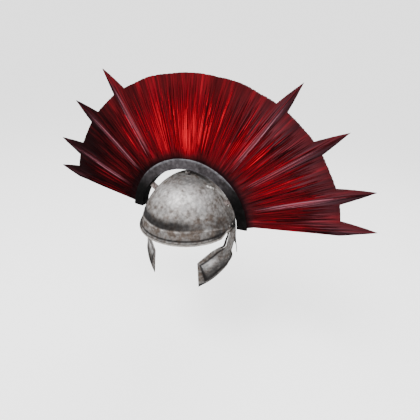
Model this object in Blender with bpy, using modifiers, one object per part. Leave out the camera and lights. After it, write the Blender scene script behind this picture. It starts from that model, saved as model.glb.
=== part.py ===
"""Roman helmet with a side-to-side crest of horsehair, modelled in metres.

+Z is up and the helmet faces -Y. The origin is the middle of the head opening, in the plane of the
brow's lower edge. Left and right are the wearer's own, so the wearer's left is +X.
"""
import math

import bmesh
import bpy
import numpy as np
from mathutils import Matrix, Vector
from mathutils.bvhtree import BVHTree

GAP = 0.0003  # clearance between neighbouring pieces

# Bowl: skull, flared brow, temple edges, nape and neck guard
BOWL_WALL = 0.0015
RIM_HALF_WIDTH = 0.1098
RIM_HALF_LENGTH = 0.1209
BROW_HEIGHT = 0.0284  # brow edge up to the crease above the flare
CROWN_HEIGHT = 0.1215
CROWN_SETBACK = 0.0076  # how far the top of the crown sits behind the origin
TEMPLE_RISE = 0.010  # height of the edge over the cheek guards
BROW_END = 66.0  # degrees round from the front, where the brow's edge starts to climb
TEMPLE_START = 80.0
NAPE_START = 106.0
NAPE_SLANT = 7.0  # degrees that the nape's front edge drifts back on its way down
NAPE_DEPTH = 0.091  # temple edge down to the neck guard's edge at the sides
NAPE_BACK_DROP = 0.008  # how much lower the neck guard's edge is at the back
NAPE_SIDE_FLARE = 0.012
NECK_GUARD_REACH = 0.034

# Base of the crown all round: angle, reach as a share of the rim's, height as a share of BROW_HEIGHT
CROWN_BASE = (
    (0.0, 0.946, 1.00),
    (45.0, 0.925, 0.98),
    (60.0, 0.926, 0.85),
    (75.0, 0.948, 0.65),
    (90.0, 0.972, 0.50),
    (105.0, 0.995, 0.50),
    (120.0, 1.005, 0.50),
    (150.0, 0.995, 0.50),
    (180.0, 0.980, 0.50),
)
# Side view of the crown: share of its height, share of its reach
CROWN_PROFILE = (
    (0.00, 1.000),
    (0.25, 0.930),
    (0.50, 0.790),
    (0.70, 0.636),
    (0.85, 0.430),
    (0.95, 0.240),
    (1.00, 0.000),
)
CROWN_ROWS = (1.0, 0.985, 0.94, 0.86, 0.74, 0.58, 0.40, 0.20, 0.0)
# Nape: share of the drop, share of NAPE_SIDE_FLARE, share of NECK_GUARD_REACH at the back
NAPE_PROFILE = (
    (0.00, 0.00, 0.00),
    (0.25, 0.26, -0.04),
    (0.50, 0.42, -0.14),
    (0.68, 0.62, -0.08),
    (0.80, 0.78, 0.22),
    (0.90, 0.89, 0.60),
    (1.00, 1.00, 1.00),
)
FLARE_ROWS = 2
BROW_COLUMNS, CLIMB_COLUMNS, TEMPLE_COLUMNS, NAPE_COLUMNS = 12, 3, 4, 8

# Binding folded over the brow's edge
BINDING_WALL = 0.0008
BINDING_LEG = 0.0044
BINDING_GAP = 0.0004
BINDING_ROUND = 0.6  # share of the wall that is bevelled off its folded corners

# Crest: channel, hair and posts
CREST_SETBACK = 0.0019  # middle of the crest behind the origin
CREST_CENTRE_HEIGHT = 0.0053  # centre of the channel's arc above the rim plane
CREST_LIFT = 0.0067  # crown's top up to the channel
CHANNEL_INNER_RADIUS = CROWN_HEIGHT + CREST_LIFT - CREST_CENTRE_HEIGHT
CHANNEL_DEPTH = 0.0237
CHANNEL_WIDTH = 0.0255
CHANNEL_WALL = 0.0016
CHANNEL_FOOT = 4.3  # degrees above the level line
CHANNEL_STEPS = 36
HAIR_CLEARANCE = 0.0004
HAIR_CENTRE_HEIGHT = -0.0035
HAIR_RADIUS = 0.335
HAIR_FOOT_ROOT = 11.0  # degrees above the level line at the channel, about the hair's own centre
HAIR_FOOT_RIM = 9.66
HAIR_ROOT_DEPTH = 0.0098  # half thickness just outside the channel
HAIR_RIM_DEPTH = 0.0062
LOCK_RIDGE = 0.0012
SPIKE_TIP_THINNING = 0.8  # share of the rim's thickness lost at a pointed lock's tip
LOCK_ANGLE = 5.4  # degrees from one ridge of hair to the next
HAIR_COLUMN_ANGLE = 1.85
HAIR_ROWS = (0.0, 0.14, 0.32, 0.52, 0.72, 0.88, 1.0)
# Outline of the fan: degrees above the level line, share of HAIR_RADIUS
FAN_OUTLINE = (
    (9.0, 0.988),
    (20.8, 1.000),
    (31.8, 0.993),
    (40.0, 0.996),
    (48.5, 0.988),
    (57.0, 0.987),
    (65.5, 0.976),
    (72.0, 0.979),
    (81.0, 0.970),
    (90.0, 0.971),
)
SPIKE_REACH = 0.064
SPIKE_LIFT = 0.0034  # how far a pointed lock stands proud of the fan
SPIKE_FORWARD = 0.011  # how far the highest pointed lock's tip bends forward
# Pointed locks on each side: tip angle, lower base angle, upper base angle, share of SPIKE_REACH past
# the rim, share of SPIKE_FORWARD
SPIKES = (
    (11.1, HAIR_FOOT_RIM, 14.2, 1.00, 0.00),
    (22.6, 20.6, 25.6, 1.00, 0.35),
    (39.6, 37.6, 42.4, 0.90, 0.75),
    (56.6, 54.8, 59.2, 0.86, 1.00),
)
POST_ANGLES = {"left": 34.0, "top": 90.0, "right": 146.0}
POST_WIDTH = 0.0105
POST_TOP_FORWARD = 0.0105  # the top post sits this far in front of the crest's middle

# Cheek guards, given for the wearer's left
CHEEK_WALL = 0.0014
CHEEK_TOP = 0.0031  # hinge axis down to the plate's top edge, clear of the bowl's leaf when it swings up
CHEEK_DROP = 0.133  # rim plane down to the lowest corner
CHEEK_FRONT = 0.062  # foremost point of the plate, ahead of the origin
CHEEK_LEAN = 0.030  # how far the plate leans out for each metre that it hangs down
CHEEK_SINK = 0.0013  # depth of the sunk panel
CHEEK_BORDER = 0.0085
CHEEK_BORDER_REAR = 0.0055
CHEEK_BEVEL = 0.0018
CHEEK_PANEL_TOP = 0.38  # share of the plate's length above the sunk panel
CHEEK_ROWS = 16
PANEL_STEPS = 6
# Plan of the plate: share of CHEEK_FRONT ahead of the origin, share of the bowl's half width above it
CHEEK_PLAN = (
    (-0.40, 1.018),
    (-0.15, 1.008),
    (0.05, 1.002),
    (0.27, 0.984),
    (0.42, 0.938),
    (0.55, 0.868),
    (0.80, 0.690),
    (1.00, 0.500),
)
# Outline seen from the side. Each row crosses the plate: front edge (share of CHEEK_FRONT ahead,
# share of CHEEK_DROP down), then rear edge the same way
CHEEK_OUTLINE = (
    (0.240, 0.000, -0.400, 0.000),
    (0.349, 0.086, -0.425, 0.130),
    (0.418, 0.188, -0.400, 0.294),
    (0.490, 0.210, -0.215, 0.425),
    (0.571, 0.226, -0.305, 0.524),
    (0.703, 0.274, -0.270, 0.595),
    (0.785, 0.324, 0.060, 0.628),
    (0.856, 0.376, 0.371, 0.683),
    (0.930, 0.442, 0.650, 0.826),
    (1.004, 0.508, 0.975, 0.993),
)

# Hinges
HINGE_Y = -0.002
HINGE_INSET = 0.0050  # wall's outer face in to the axis
HINGE_DROP = 0.0058  # temple edge down to the axis
HINGE_LENGTH = 0.026
KNUCKLE_LENGTH = 0.012
LEAF_SHEET = 0.0009
KNUCKLE_WRAP = 265.0  # degrees of sheet rolled round the pin
PIN_RADIUS = 0.00095
PIN_HEAD_RADIUS = 0.0018
PIN_HEAD = 0.0009
LEAF_SEAT = 0.0008
SEAT_BULGE = 0.0006  # the curved wall's bulge past the flat leaf, at a rivet
LEAF_BEND = 0.0025  # axis down to the flat of the cheek guard's leaf
BOWL_LEAF = 0.018
CHEEK_LEAF = 0.0165
RIVET_RADIUS = 0.0011
RIVET_HEAD_RADIUS = 0.0024
RIVET_HEAD = 0.0011
RIVET_SPACING = 0.015
RIVET_PLACE = 0.71  # share of a leaf's length between the axis and its rivets
HOLE_REACH = 0.006  # how far a rivet's hole is cut to each side
ROUND_SEGMENTS = 8
KNUCKLE_POINTS = 15
# Profiles of a rivet's head and tail: share of RIVET_HEAD, share of RIVET_HEAD_RADIUS
RIVET_DOME = ((1.00, 0.00), (0.85, 0.50), (0.45, 0.88), (0.00, 1.00))
RIVET_TAIL = ((0.00, 0.80), (0.60, 0.70), (0.60, 0.00))

COLOURS = {
    "steel": ((0.36, 0.34, 0.33), 0.45, 0.9),
    "edging": ((0.52, 0.50, 0.49), 0.35, 0.9),
    "dark_iron": ((0.08, 0.08, 0.09), 0.5, 0.8),
    "post_metal": ((0.42, 0.36, 0.35), 0.5, 0.8),
    "horsehair": ((0.33, 0.012, 0.015), 0.6, 0.0),
}


def clear_scene():
    for item in list(bpy.data.objects):
        bpy.data.objects.remove(item, do_unlink=True)


def new_collection(name):
    collection = bpy.data.collections.new(name)
    bpy.context.scene.collection.children.link(collection)
    return collection


def material(name):
    found = bpy.data.materials.get(name)
    if found:
        return found
    colour, roughness, metallic = COLOURS[name]
    made = bpy.data.materials.new(name)
    made.use_nodes = True
    shader = made.node_tree.nodes["Principled BSDF"]
    shader.inputs["Base Color"].default_value = (*colour, 1.0)
    shader.inputs["Roughness"].default_value = roughness
    shader.inputs["Metallic"].default_value = metallic
    return made


def add_object(name, mesh, finish, collection):
    made = bpy.data.objects.new(name, mesh)
    mesh.materials.append(material(finish))
    collection.objects.link(made)
    mesh.shade_smooth()
    mesh.set_sharp_from_angle(angle=math.radians(35))
    return made


def add_cutter(name, mesh, collection):
    made = bpy.data.objects.new(name, mesh)
    collection.objects.link(made)
    made.hide_render = True
    made.display_type = "WIRE"
    return made


def cut(target, cutter):
    made = target.modifiers.new("cut", "BOOLEAN")
    made.operation = "DIFFERENCE"
    made.object = cutter


def smooth(value, places, heights):
    """Smooth curve through the points of a table, read at value."""
    places, heights = np.asarray(places, float), np.asarray(heights, float)
    slopes = np.gradient(heights, places)
    left = np.clip(np.searchsorted(places, value, side="right") - 1, 0, len(places) - 2)
    width = places[left + 1] - places[left]
    t = (np.asarray(value, float) - places[left]) / width
    return (
        (2 * t**3 - 3 * t**2 + 1) * heights[left]
        + (t**3 - 2 * t**2 + t) * width * slopes[left]
        + (3 * t**2 - 2 * t**3) * heights[left + 1]
        + (t**3 - t**2) * width * slopes[left + 1]
    )


def column(table, index):
    return [row[index] for row in table]


def loft(name, sections):
    """Closed skin through closed sections of equal point count, with flat ends."""
    mesh = bmesh.new()
    rings = [[mesh.verts.new(point) for point in section] for section in sections]
    for ring, following in zip(rings, rings[1:]):
        for index in range(len(ring)):
            after = (index + 1) % len(ring)
            mesh.faces.new((ring[index], ring[after], following[after], following[index]))
    mesh.faces.new(rings[0][::-1])
    mesh.faces.new(rings[-1])
    bmesh.ops.recalc_face_normals(mesh, faces=mesh.faces)
    return finish_mesh(name, mesh)


def finish_mesh(name, mesh):
    data = bpy.data.meshes.new(name)
    mesh.to_mesh(data)
    mesh.free()
    return data


def rim_reach(angle):
    """Distance from the origin to the rim's ellipse, at an angle round from the front."""
    return 1.0 / math.hypot(math.sin(angle) / RIM_HALF_WIDTH, math.cos(angle) / RIM_HALF_LENGTH)


def crown_base(degrees):
    angle = math.radians(degrees)
    reach = rim_reach(angle) * smooth(degrees, column(CROWN_BASE, 0), column(CROWN_BASE, 1))
    height = BROW_HEIGHT * smooth(degrees, column(CROWN_BASE, 0), column(CROWN_BASE, 2))
    return np.array((reach * math.sin(angle), -reach * math.cos(angle), height))


def crown_point(degrees, share):
    """Point on the skull: share 0 is its base, share 1 the top."""
    base = crown_base(degrees)
    narrowing = float(smooth(share, column(CROWN_PROFILE, 0), column(CROWN_PROFILE, 1)))
    top = np.array((0.0, CROWN_SETBACK, CROWN_HEIGHT))
    point = top + (base - top) * narrowing
    point[2] = base[2] + share * (CROWN_HEIGHT - base[2])
    return point


def brow_edge():
    """Height of the sheet's own edge at the brow, whose binding reaches down to the rim plane."""
    return BINDING_GAP + BINDING_WALL


def edge_height(degrees):
    climb = (degrees - BROW_END) / (TEMPLE_START - BROW_END)
    return brow_edge() + (TEMPLE_RISE - brow_edge()) * min(max(climb, 0.0), 1.0)


def flare_point(degrees, share):
    """Point between the crown's base and the lower edge: share 1 is the edge."""
    angle = math.radians(degrees)
    base = crown_base(degrees)
    rim = rim_reach(angle) * np.array((math.sin(angle), -math.cos(angle), 0.0))
    rim[2] = brow_edge()
    return base + (rim - base) * share * (base[2] - edge_height(degrees)) / (base[2] - rim[2])


def side_face(y, z):
    """Distance of the bowl's outer face from the middle plane, beside the temple."""
    low, high = 40.0, 140.0
    for _ in range(40):
        degrees = (low + high) / 2
        base = crown_base(degrees)
        if z >= base[2]:
            point = crown_point(degrees, (z - base[2]) / (CROWN_HEIGHT - base[2]))
        else:
            point = flare_point(degrees, (base[2] - z) / (base[2] - edge_height(degrees)))
        low, high = (degrees, high) if point[1] < y else (low, degrees)
    return float(point[0])


def nape_point(turn, share):
    """Point on the nape: turn 0 is its front edge, 1 the back; share 1 is the neck guard's edge."""
    degrees = NAPE_START + turn * (180.0 - NAPE_START) + NAPE_SLANT * share * (1.0 - turn)
    angle = math.radians(degrees)
    start = flare_point(degrees, 1.0)
    side = float(smooth(share, column(NAPE_PROFILE, 0), column(NAPE_PROFILE, 1)))
    back = float(smooth(share, column(NAPE_PROFILE, 0), column(NAPE_PROFILE, 2)))
    weight = turn * turn * (3.0 - 2.0 * turn)
    reach = math.hypot(start[0], start[1])
    reach += (1.0 - weight) * side * NAPE_SIDE_FLARE + weight * back * NECK_GUARD_REACH
    drop = share * (NAPE_DEPTH + weight * NAPE_BACK_DROP)
    return np.array((reach * math.sin(angle), -reach * math.cos(angle), start[2] - drop))


def bowl_angles():
    stretches = (
        (0.0, BROW_END, BROW_COLUMNS),
        (BROW_END, TEMPLE_START, CLIMB_COLUMNS),
        (TEMPLE_START, NAPE_START, TEMPLE_COLUMNS),
        (NAPE_START, 180.0, NAPE_COLUMNS),
    )
    angles = [0.0]
    for start, end, count in stretches:
        angles += [start + (end - start) * (step + 1) / count for step in range(count)]
    return angles


def build_bowl(collection):
    """Half of the skull, brow and nape as an open surface, mirrored and thickened inward."""
    mesh = bmesh.new()
    angles = bowl_angles()
    top = mesh.verts.new((0.0, CROWN_SETBACK, CROWN_HEIGHT))
    columns = []
    for degrees in angles:
        points = [crown_point(degrees, share) for share in CROWN_ROWS[1:]]
        points += [flare_point(degrees, (row + 1) / FLARE_ROWS) for row in range(FLARE_ROWS)]
        if degrees >= NAPE_START:
            turn = (degrees - NAPE_START) / (180.0 - NAPE_START)
            points += [nape_point(turn, share) for share in column(NAPE_PROFILE, 0)[1:]]
        if degrees in (0.0, 180.0):
            for point in points:
                point[0] = 0.0
        columns.append([mesh.verts.new(point) for point in points])
    for here, beside in zip(columns, columns[1:]):
        mesh.faces.new((top, here[0], beside[0]))
        for row in range(min(len(here), len(beside)) - 1):
            mesh.faces.new((here[row], here[row + 1], beside[row + 1], beside[row]))
    bowl = add_object("bowl", finish_mesh("bowl", mesh), "steel", collection)
    mirror = bowl.modifiers.new("other half", "MIRROR")
    mirror.use_mirror_merge = True
    mirror.merge_threshold = 0.0001
    wall = bowl.modifiers.new("sheet", "SOLIDIFY")
    wall.thickness = BOWL_WALL
    wall.offset = -1.0
    wall.use_even_offset = True
    return bowl


def unit(vector):
    return vector / np.linalg.norm(vector)


def binding_frame(degrees):
    """Edge point, outward normal and upward direction of the sheet at the brow's edge."""
    step = 0.5
    mirrored = np.array((math.copysign(1.0, degrees) if degrees else 1.0, 1.0, 1.0))
    place = abs(degrees)
    edge = flare_point(place, 1.0)
    ahead = flare_point(min(place + step, TEMPLE_START), 1.0)
    along = unit(ahead - flare_point(max(place - step, 0.0), 1.0))
    if place < step:
        along = np.array((1.0, 0.0, 0.0))
    up = unit(crown_base(place) - edge)
    outward = unit(np.cross(along, up))
    up = np.cross(outward, along)
    return edge * mirrored, outward * mirrored, up * mirrored


def build_binding(collection):
    """U-shaped strip that follows the brow's edge from temple to temple."""
    inner = BOWL_WALL + BINDING_GAP
    outer = BINDING_GAP + BINDING_WALL
    round_off = BINDING_WALL * BINDING_ROUND
    outline = (
        (BINDING_GAP, BINDING_LEG),
        (outer, BINDING_LEG),
        (outer, round_off - outer),
        (outer - round_off, -outer),
        (round_off - inner - BINDING_WALL, -outer),
        (-inner - BINDING_WALL, round_off - outer),
        (-inner - BINDING_WALL, BINDING_LEG),
        (-inner, BINDING_LEG),
        (-inner, -BINDING_GAP),
        (BINDING_GAP, -BINDING_GAP),
    )
    side = [degrees for degrees in bowl_angles() if degrees <= TEMPLE_START]
    sections = []
    for degrees in [-degrees for degrees in side[:0:-1]] + side:
        edge, outward, up = binding_frame(degrees)
        sections.append([edge + outward * out + up * rise for out, rise in outline])
    add_object("brow_binding", loft("brow_binding", sections), "edging", collection)


def build_channel(collection):
    """U-shaped holder, open outward, turned about the crest's own axis."""
    half = CHANNEL_WIDTH / 2
    outer = CHANNEL_INNER_RADIUS + CHANNEL_DEPTH
    inner = CHANNEL_INNER_RADIUS
    profile = ((-half, outer), (-half, inner), (half, inner), (half, outer))
    start = math.radians(CHANNEL_FOOT)
    mesh = bmesh.new()
    points = [(radius * math.cos(start), y, radius * math.sin(start)) for y, radius in profile]
    points = [mesh.verts.new(point) for point in points]
    for first, second in zip(points, points[1:]):
        mesh.edges.new((first, second))
    channel = add_object("crest_channel", finish_mesh("crest_channel", mesh), "dark_iron", collection)
    channel.location = (0.0, CREST_SETBACK, CREST_CENTRE_HEIGHT)
    turn = channel.modifiers.new("arc", "SCREW")
    turn.axis = "Y"
    turn.angle = -math.radians(180.0 - 2 * CHANNEL_FOOT)
    turn.steps = turn.render_steps = CHANNEL_STEPS
    turn.use_merge_vertices = False
    turn.merge_threshold = 0.00001
    wall = channel.modifiers.new("sheet", "SOLIDIFY")
    wall.thickness = CHANNEL_WALL
    wall.offset = 1.0
    wall.use_even_offset = True
    return channel


def fan_radius(degrees):
    """Outer radius of the hair, with its pointed locks, at an angle above the level line."""
    side = min(degrees, 180.0 - degrees)
    radius = HAIR_RADIUS * float(np.interp(side, column(FAN_OUTLINE, 0), column(FAN_OUTLINE, 1)))
    share, reach, _ = spike_at(degrees)
    return radius + SPIKE_REACH * reach * share


def spike_at(degrees):
    """Share of the way from a pointed lock's edge to its middle line, and its reach and bend."""
    side = min(degrees, 180.0 - degrees)
    for tip, lower, upper, reach, bend in SPIKES:
        if lower <= side <= upper:
            base = lower if side < tip else upper
            return (side - base) / (tip - base), reach, bend
    return 0.0, 0.0, 0.0


def hair_angles():
    """Angles of the hair's columns: the pointed locks' own edges and tips, with even steps between."""
    keys = sorted({angle for spike in SPIKES for angle in spike[:3]} | {90.0})
    keys += [180.0 - angle for angle in keys[-2::-1]]
    angles = [keys[0]]
    for start, end in zip(keys, keys[1:]):
        count = max(1, round((end - start) / HAIR_COLUMN_ANGLE))
        angles += [start + (end - start) * (step + 1) / count for step in range(count)]
    return angles


def hair_section(degrees):
    """Closed outline across the hair at one angle: backing in the channel, then the fan."""
    channel_centre = CREST_CENTRE_HEIGHT - HAIR_CENTRE_HEIGHT
    lean = abs(degrees - 90.0) / (90.0 - HAIR_FOOT_RIM)
    turn = HAIR_FOOT_ROOT - HAIR_FOOT_RIM
    root = degrees + math.copysign(turn * lean, 90.0 - degrees)
    foot = CHANNEL_FOOT + (90.0 - CHANNEL_FOOT) * (1.0 - lean)
    backing = math.radians(foot if degrees <= 90.0 else 180.0 - foot)
    floor = CHANNEL_INNER_RADIUS + CHANNEL_WALL + HAIR_CLEARANCE
    lip = CHANNEL_INNER_RADIUS + CHANNEL_DEPTH
    inside = CHANNEL_WIDTH / 2 - CHANNEL_WALL - HAIR_CLEARANCE
    front, bend, outer = [], [0.0, 0.0], fan_radius(degrees)
    for radius in (floor, lip):
        front.append((radius * math.cos(backing), inside, channel_centre + radius * math.sin(backing)))
    lock = math.cos(2 * math.pi * (degrees - 90.0) / LOCK_ANGLE)
    proud, _, forward = spike_at(degrees)
    start = math.hypot(lip * math.cos(backing), channel_centre + lip * math.sin(backing)) + CHANNEL_WALL
    for share in HAIR_ROWS:
        angle = math.radians(root + (degrees - root) * share)
        radius = start + (outer - start) * share
        depth = HAIR_ROOT_DEPTH + (HAIR_RIM_DEPTH - HAIR_ROOT_DEPTH) * share**2
        depth += LOCK_RIDGE * lock * (1.0 - share**3) + SPIKE_LIFT * proud * share * (1.0 - share**4)
        if share == 1.0:
            depth -= HAIR_RIM_DEPTH * SPIKE_TIP_THINNING * proud
        front.append((radius * math.cos(angle), depth, radius * math.sin(angle)))
        bend.append(SPIKE_FORWARD * forward * proud * share**6)
    loop = [(x, -y - back, z) for (x, y, z), back in zip(front, bend)]
    loop += [(x, y - back, z) for (x, y, z), back in reversed(list(zip(front, bend)))]
    return [(x, y + CREST_SETBACK, z + HAIR_CENTRE_HEIGHT) for x, y, z in loop]


def build_hair(collection):
    sections = [hair_section(degrees) for degrees in hair_angles()]
    add_object("crest_hair", loft("crest_hair", sections), "horsehair", collection)


def build_post(place, degrees, bowl_tree, collection):
    """Square post whose foot is shaped to the bowl and whose head is shaped to the channel."""
    angle = math.radians(degrees)
    centre = Vector((0.0, CREST_SETBACK, CREST_CENTRE_HEIGHT))
    out = Vector((math.cos(angle), 0.0, math.sin(angle)))
    side = Vector((-math.sin(angle), 0.0, math.cos(angle)))
    forward = POST_TOP_FORWARD if place == "top" else 0.0
    half = POST_WIDTH / 2
    head_radius = CHANNEL_INNER_RADIUS - GAP
    feet, heads = [], []
    corners = ((-1, -1), (0, -1), (1, -1), (1, 0), (1, 1), (0, 1), (-1, 1), (-1, 0))
    for across, along in corners:
        offset = side * across * half + Vector((0.0, along * half - forward, 0.0))
        head = math.sqrt(head_radius**2 - (across * half) ** 2)
        heads.append(centre + offset + out * head)
        hit = bowl_tree.ray_cast(centre + offset + out * head, -out)[0]
        feet.append(hit + out * GAP * 2)
    name = f"crest_post_{place}"
    mesh = bmesh.new()
    low = [mesh.verts.new(point) for point in feet]
    high = [mesh.verts.new(point) for point in heads]
    middle = centre + Vector((0.0, -forward, 0.0)) + out * head_radius
    foot = mesh.verts.new(bowl_tree.ray_cast(middle, -out)[0] + out * GAP * 2)
    top = mesh.verts.new(middle)
    for index in range(len(corners)):
        after = (index + 1) % len(corners)
        mesh.faces.new((low[index], low[after], high[after], high[index]))
        mesh.faces.new((low[after], low[index], foot))
        mesh.faces.new((high[index], high[after], top))
    bmesh.ops.recalc_face_normals(mesh, faces=mesh.faces)
    add_object(name, finish_mesh(name, mesh), "post_metal", collection)


HINGE_FACE = side_face(HINGE_Y, TEMPLE_RISE)


def cheek_reach(y, z):
    """Distance of the cheek plate's outer face from the middle plane."""
    share = float(smooth(-y / CHEEK_FRONT, column(CHEEK_PLAN, 0), column(CHEEK_PLAN, 1)))
    return HINGE_FACE * share + CHEEK_LEAN * (TEMPLE_RISE - HINGE_DROP - z)


def hinge_centre():
    """Middle of the hinge axis on the wearer's left."""
    return np.array((HINGE_FACE - HINGE_INSET, HINGE_Y, TEMPLE_RISE - HINGE_DROP))


def hinge_toe():
    """Angle that the axis turns inward toward the front, so that it follows the bowl's wall."""
    half = HINGE_LENGTH / 2
    spread = side_face(HINGE_Y + half, TEMPLE_RISE) - side_face(HINGE_Y - half, TEMPLE_RISE)
    return math.atan(spread / HINGE_LENGTH)


def leaf_seat(upward, height):
    """Outward place of a leaf's middle line behind its wall, at a height from the hinge axis."""
    half = HINGE_LENGTH / 2
    z = TEMPLE_RISE - HINGE_DROP + height
    reach, wall = (side_face, BOWL_WALL) if upward else (cheek_reach, CHEEK_WALL)
    ends = (reach(HINGE_Y - half, z) + reach(HINGE_Y + half, z)) / 2
    return ends - HINGE_FACE + HINGE_INSET - wall - LEAF_SEAT - LEAF_SHEET / 2


def leaf_lean(upward):
    """How far a leaf moves out for each metre away from the axis."""
    near, far = (HINGE_DROP, BOWL_LEAF) if upward else (-LEAF_BEND, -CHEEK_LEAF)
    return (leaf_seat(upward, far) - leaf_seat(upward, near)) / abs(far - near)


def cheek_row(share):
    """Front and rear edge of the plate, each as y and z, at a share of its length."""
    top = hinge_centre()[2] - CHEEK_TOP
    places = np.linspace(0.0, 1.0, len(CHEEK_OUTLINE))
    edges = [float(smooth(share, places, column(CHEEK_OUTLINE, index))) for index in range(4)]
    front_y, front_z, rear_y, rear_z = edges
    drop = CHEEK_DROP + top
    front = np.array((-front_y * CHEEK_FRONT, top - front_z * drop))
    rear = np.array((-rear_y * CHEEK_FRONT, top - rear_z * drop))
    return front, rear


def cheek_shares():
    """Rows down the plate, and the share at which the sunk panel ends above the end border."""
    front, rear = cheek_row(1.0)
    before = cheek_row(0.9)
    length = 10.0 * (np.linalg.norm(front - before[0]) + np.linalg.norm(rear - before[1])) / 2
    end = 1.0 - CHEEK_BORDER / length
    bevel = end - CHEEK_BEVEL / length
    return list(np.linspace(0.0, bevel, CHEEK_ROWS)) + [end, (1.0 + end) / 2, 1.0], bevel


def build_cheek_guard(name, side, collection):
    """Plate curved round the jaw, with a border round a sunk panel."""
    shares, panel_end = cheek_shares()
    slack = 1e-9
    mesh = bmesh.new()
    rows = []
    for share in shares:
        front, rear = cheek_row(share)
        width = np.linalg.norm(rear - front)
        marks = (0.0, CHEEK_BORDER / 2, CHEEK_BORDER, CHEEK_BORDER + CHEEK_BEVEL)
        across = [mark / width for mark in marks]
        first, last = across[-1], 1.0 - (CHEEK_BORDER_REAR + CHEEK_BEVEL) / width
        across += [first + (last - first) * step / PANEL_STEPS for step in range(1, PANEL_STEPS)]
        across += [last, 1.0 - CHEEK_BORDER_REAR / width, 1.0]
        sunk_row = CHEEK_PANEL_TOP <= share <= panel_end + slack
        row = []
        for place in across:
            y, z = front + (rear - front) * place
            sunk = sunk_row and first - slack <= place <= last + slack
            x = cheek_reach(y, z) - (CHEEK_SINK if sunk else 0.0)
            row.append(mesh.verts.new((side * x, y, z)))
        rows.append(row)
    for row, following in zip(rows, rows[1:]):
        for index in range(len(row) - 1):
            corners = (row[index], following[index], following[index + 1], row[index + 1])
            mesh.faces.new(corners if side > 0 else corners[::-1])
    guard = add_object(name, finish_mesh(name, mesh), "steel", collection)
    wall = guard.modifiers.new("sheet", "SOLIDIFY")
    wall.thickness = CHEEK_WALL
    wall.offset = -1.0
    wall.use_even_offset = True
    return guard


def hinge_matrix(side):
    """Frame on the hinge axis: X outward, Y along the axis, Z up."""
    centre = hinge_centre()
    toe = hinge_toe()
    along = Vector((math.sin(toe), side * math.cos(toe), 0.0))
    up = Vector((0.0, 0.0, 1.0))
    outward = along.cross(up)
    matrix = Matrix((outward, along, up)).transposed().to_4x4()
    matrix.translation = Vector((side * centre[0], centre[1], centre[2]))
    return matrix


def rolled_leaf(upward):
    """Outline of a leaf's sheet from its far end to the knuckle rolled round the pin, as x and z."""
    half = LEAF_SHEET / 2
    barrel = PIN_RADIUS + GAP + half
    leaf, bend, side = (BOWL_LEAF, HINGE_DROP, 1) if upward else (CHEEK_LEAF, LEAF_BEND, -1)
    spine = [(leaf_seat(upward, side * leaf), leaf), (leaf_seat(upward, side * bend), bend)]
    turns = np.radians(np.linspace(0.0, KNUCKLE_WRAP, KNUCKLE_POINTS))
    spine = np.array(spine + [(barrel * math.cos(turn), -barrel * math.sin(turn)) for turn in turns])
    tangent = np.gradient(spine, axis=0)
    normal = np.stack((-tangent[:, 1], tangent[:, 0]), axis=1)
    normal /= np.linalg.norm(normal, axis=1)[:, None]
    outline = list(spine + normal * half) + list((spine - normal * half)[::-1])
    return [(x, z if upward else -z) for x, z in outline]


def box_mesh(name, low, high):
    mesh = bmesh.new()
    bmesh.ops.create_cube(mesh, size=1.0)
    size = [end - start for start, end in zip(low, high)]
    middle = [(end + start) / 2 for start, end in zip(low, high)]
    bmesh.ops.scale(mesh, vec=size, verts=mesh.verts)
    bmesh.ops.translate(mesh, vec=middle, verts=mesh.verts)
    return finish_mesh(name, mesh)


def rivet_places(upward):
    """Place along the axis and height from it of a leaf's rivets."""
    height = RIVET_PLACE * (BOWL_LEAF if upward else -CHEEK_LEAF)
    return [(side * RIVET_SPACING / 2, height) for side in (-1, 1)]


def rod_mesh(name, radius, length):
    """Plain rod along X, centred on the origin."""
    mesh = bmesh.new()
    bmesh.ops.create_cone(
        mesh,
        cap_ends=True,
        segments=ROUND_SEGMENTS,
        radius1=radius,
        radius2=radius,
        depth=length,
        matrix=Matrix.Rotation(math.pi / 2, 4, "Y"),
    )
    return finish_mesh(name, mesh)


def turned(name, profile, finish, collection):
    """Solid turned about its local X: profile rows are place along X and radius, from +X to -X."""
    mesh = bmesh.new()
    points = [mesh.verts.new((place, radius, 0.0)) for place, radius in profile]
    for first, second in zip(points, points[1:]):
        mesh.edges.new((first, second))
    made = add_object(name, finish_mesh(name, mesh), finish, collection)
    turn = made.modifiers.new("turned", "SCREW")
    turn.axis = "X"
    turn.steps = turn.render_steps = ROUND_SEGMENTS
    turn.use_merge_vertices = True
    turn.merge_threshold = 0.00001
    turn.use_normal_calculate = True
    turn.use_normal_flip = True
    return made


def build_leaf(name, side, upward, collection, cutters):
    """Sheet leaf with its rolled knuckles: two on the bowl's leaf, one on the cheek guard's."""
    outline = rolled_leaf(upward)
    half = HINGE_LENGTH / 2
    sections = [[(x, y, z) for x, z in outline] for y in (-half, half)]
    made = add_object(name, loft(name, sections), "steel", collection)
    made.matrix_world = hinge_matrix(side)
    barrel = PIN_RADIUS + LEAF_SHEET + GAP
    free = barrel + GAP * 2
    knuckle = KNUCKLE_LENGTH / 2
    low, high = (-free * 2, free) if upward else (-free, free * 2)
    if upward:
        spans = ((-knuckle - GAP / 2, knuckle + GAP / 2),)
    else:
        spans = ((-half * 2, -knuckle + GAP / 2), (knuckle - GAP / 2, half * 2))
    for number, (start, end) in enumerate(spans):
        cutter_name = f"{name}_notch_{number}"
        mesh = box_mesh(cutter_name, (-free * 3, start, low), (free * 3, end, high))
        cutter = add_cutter(cutter_name, mesh, cutters)
        cutter.matrix_world = hinge_matrix(side)
        cut(made, cutter)
    return made


def add_axis(label, frame, collection):
    """Empty on the hinge axis that carries one cheek guard and what is fixed to it."""
    axis = bpy.data.objects.new(f"cheek_axis_{label}", None)
    axis.matrix_world = frame
    collection.objects.link(axis)
    return axis


def carry(axis, piece):
    piece.parent = axis
    piece.matrix_parent_inverse = axis.matrix_world.inverted()


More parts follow.
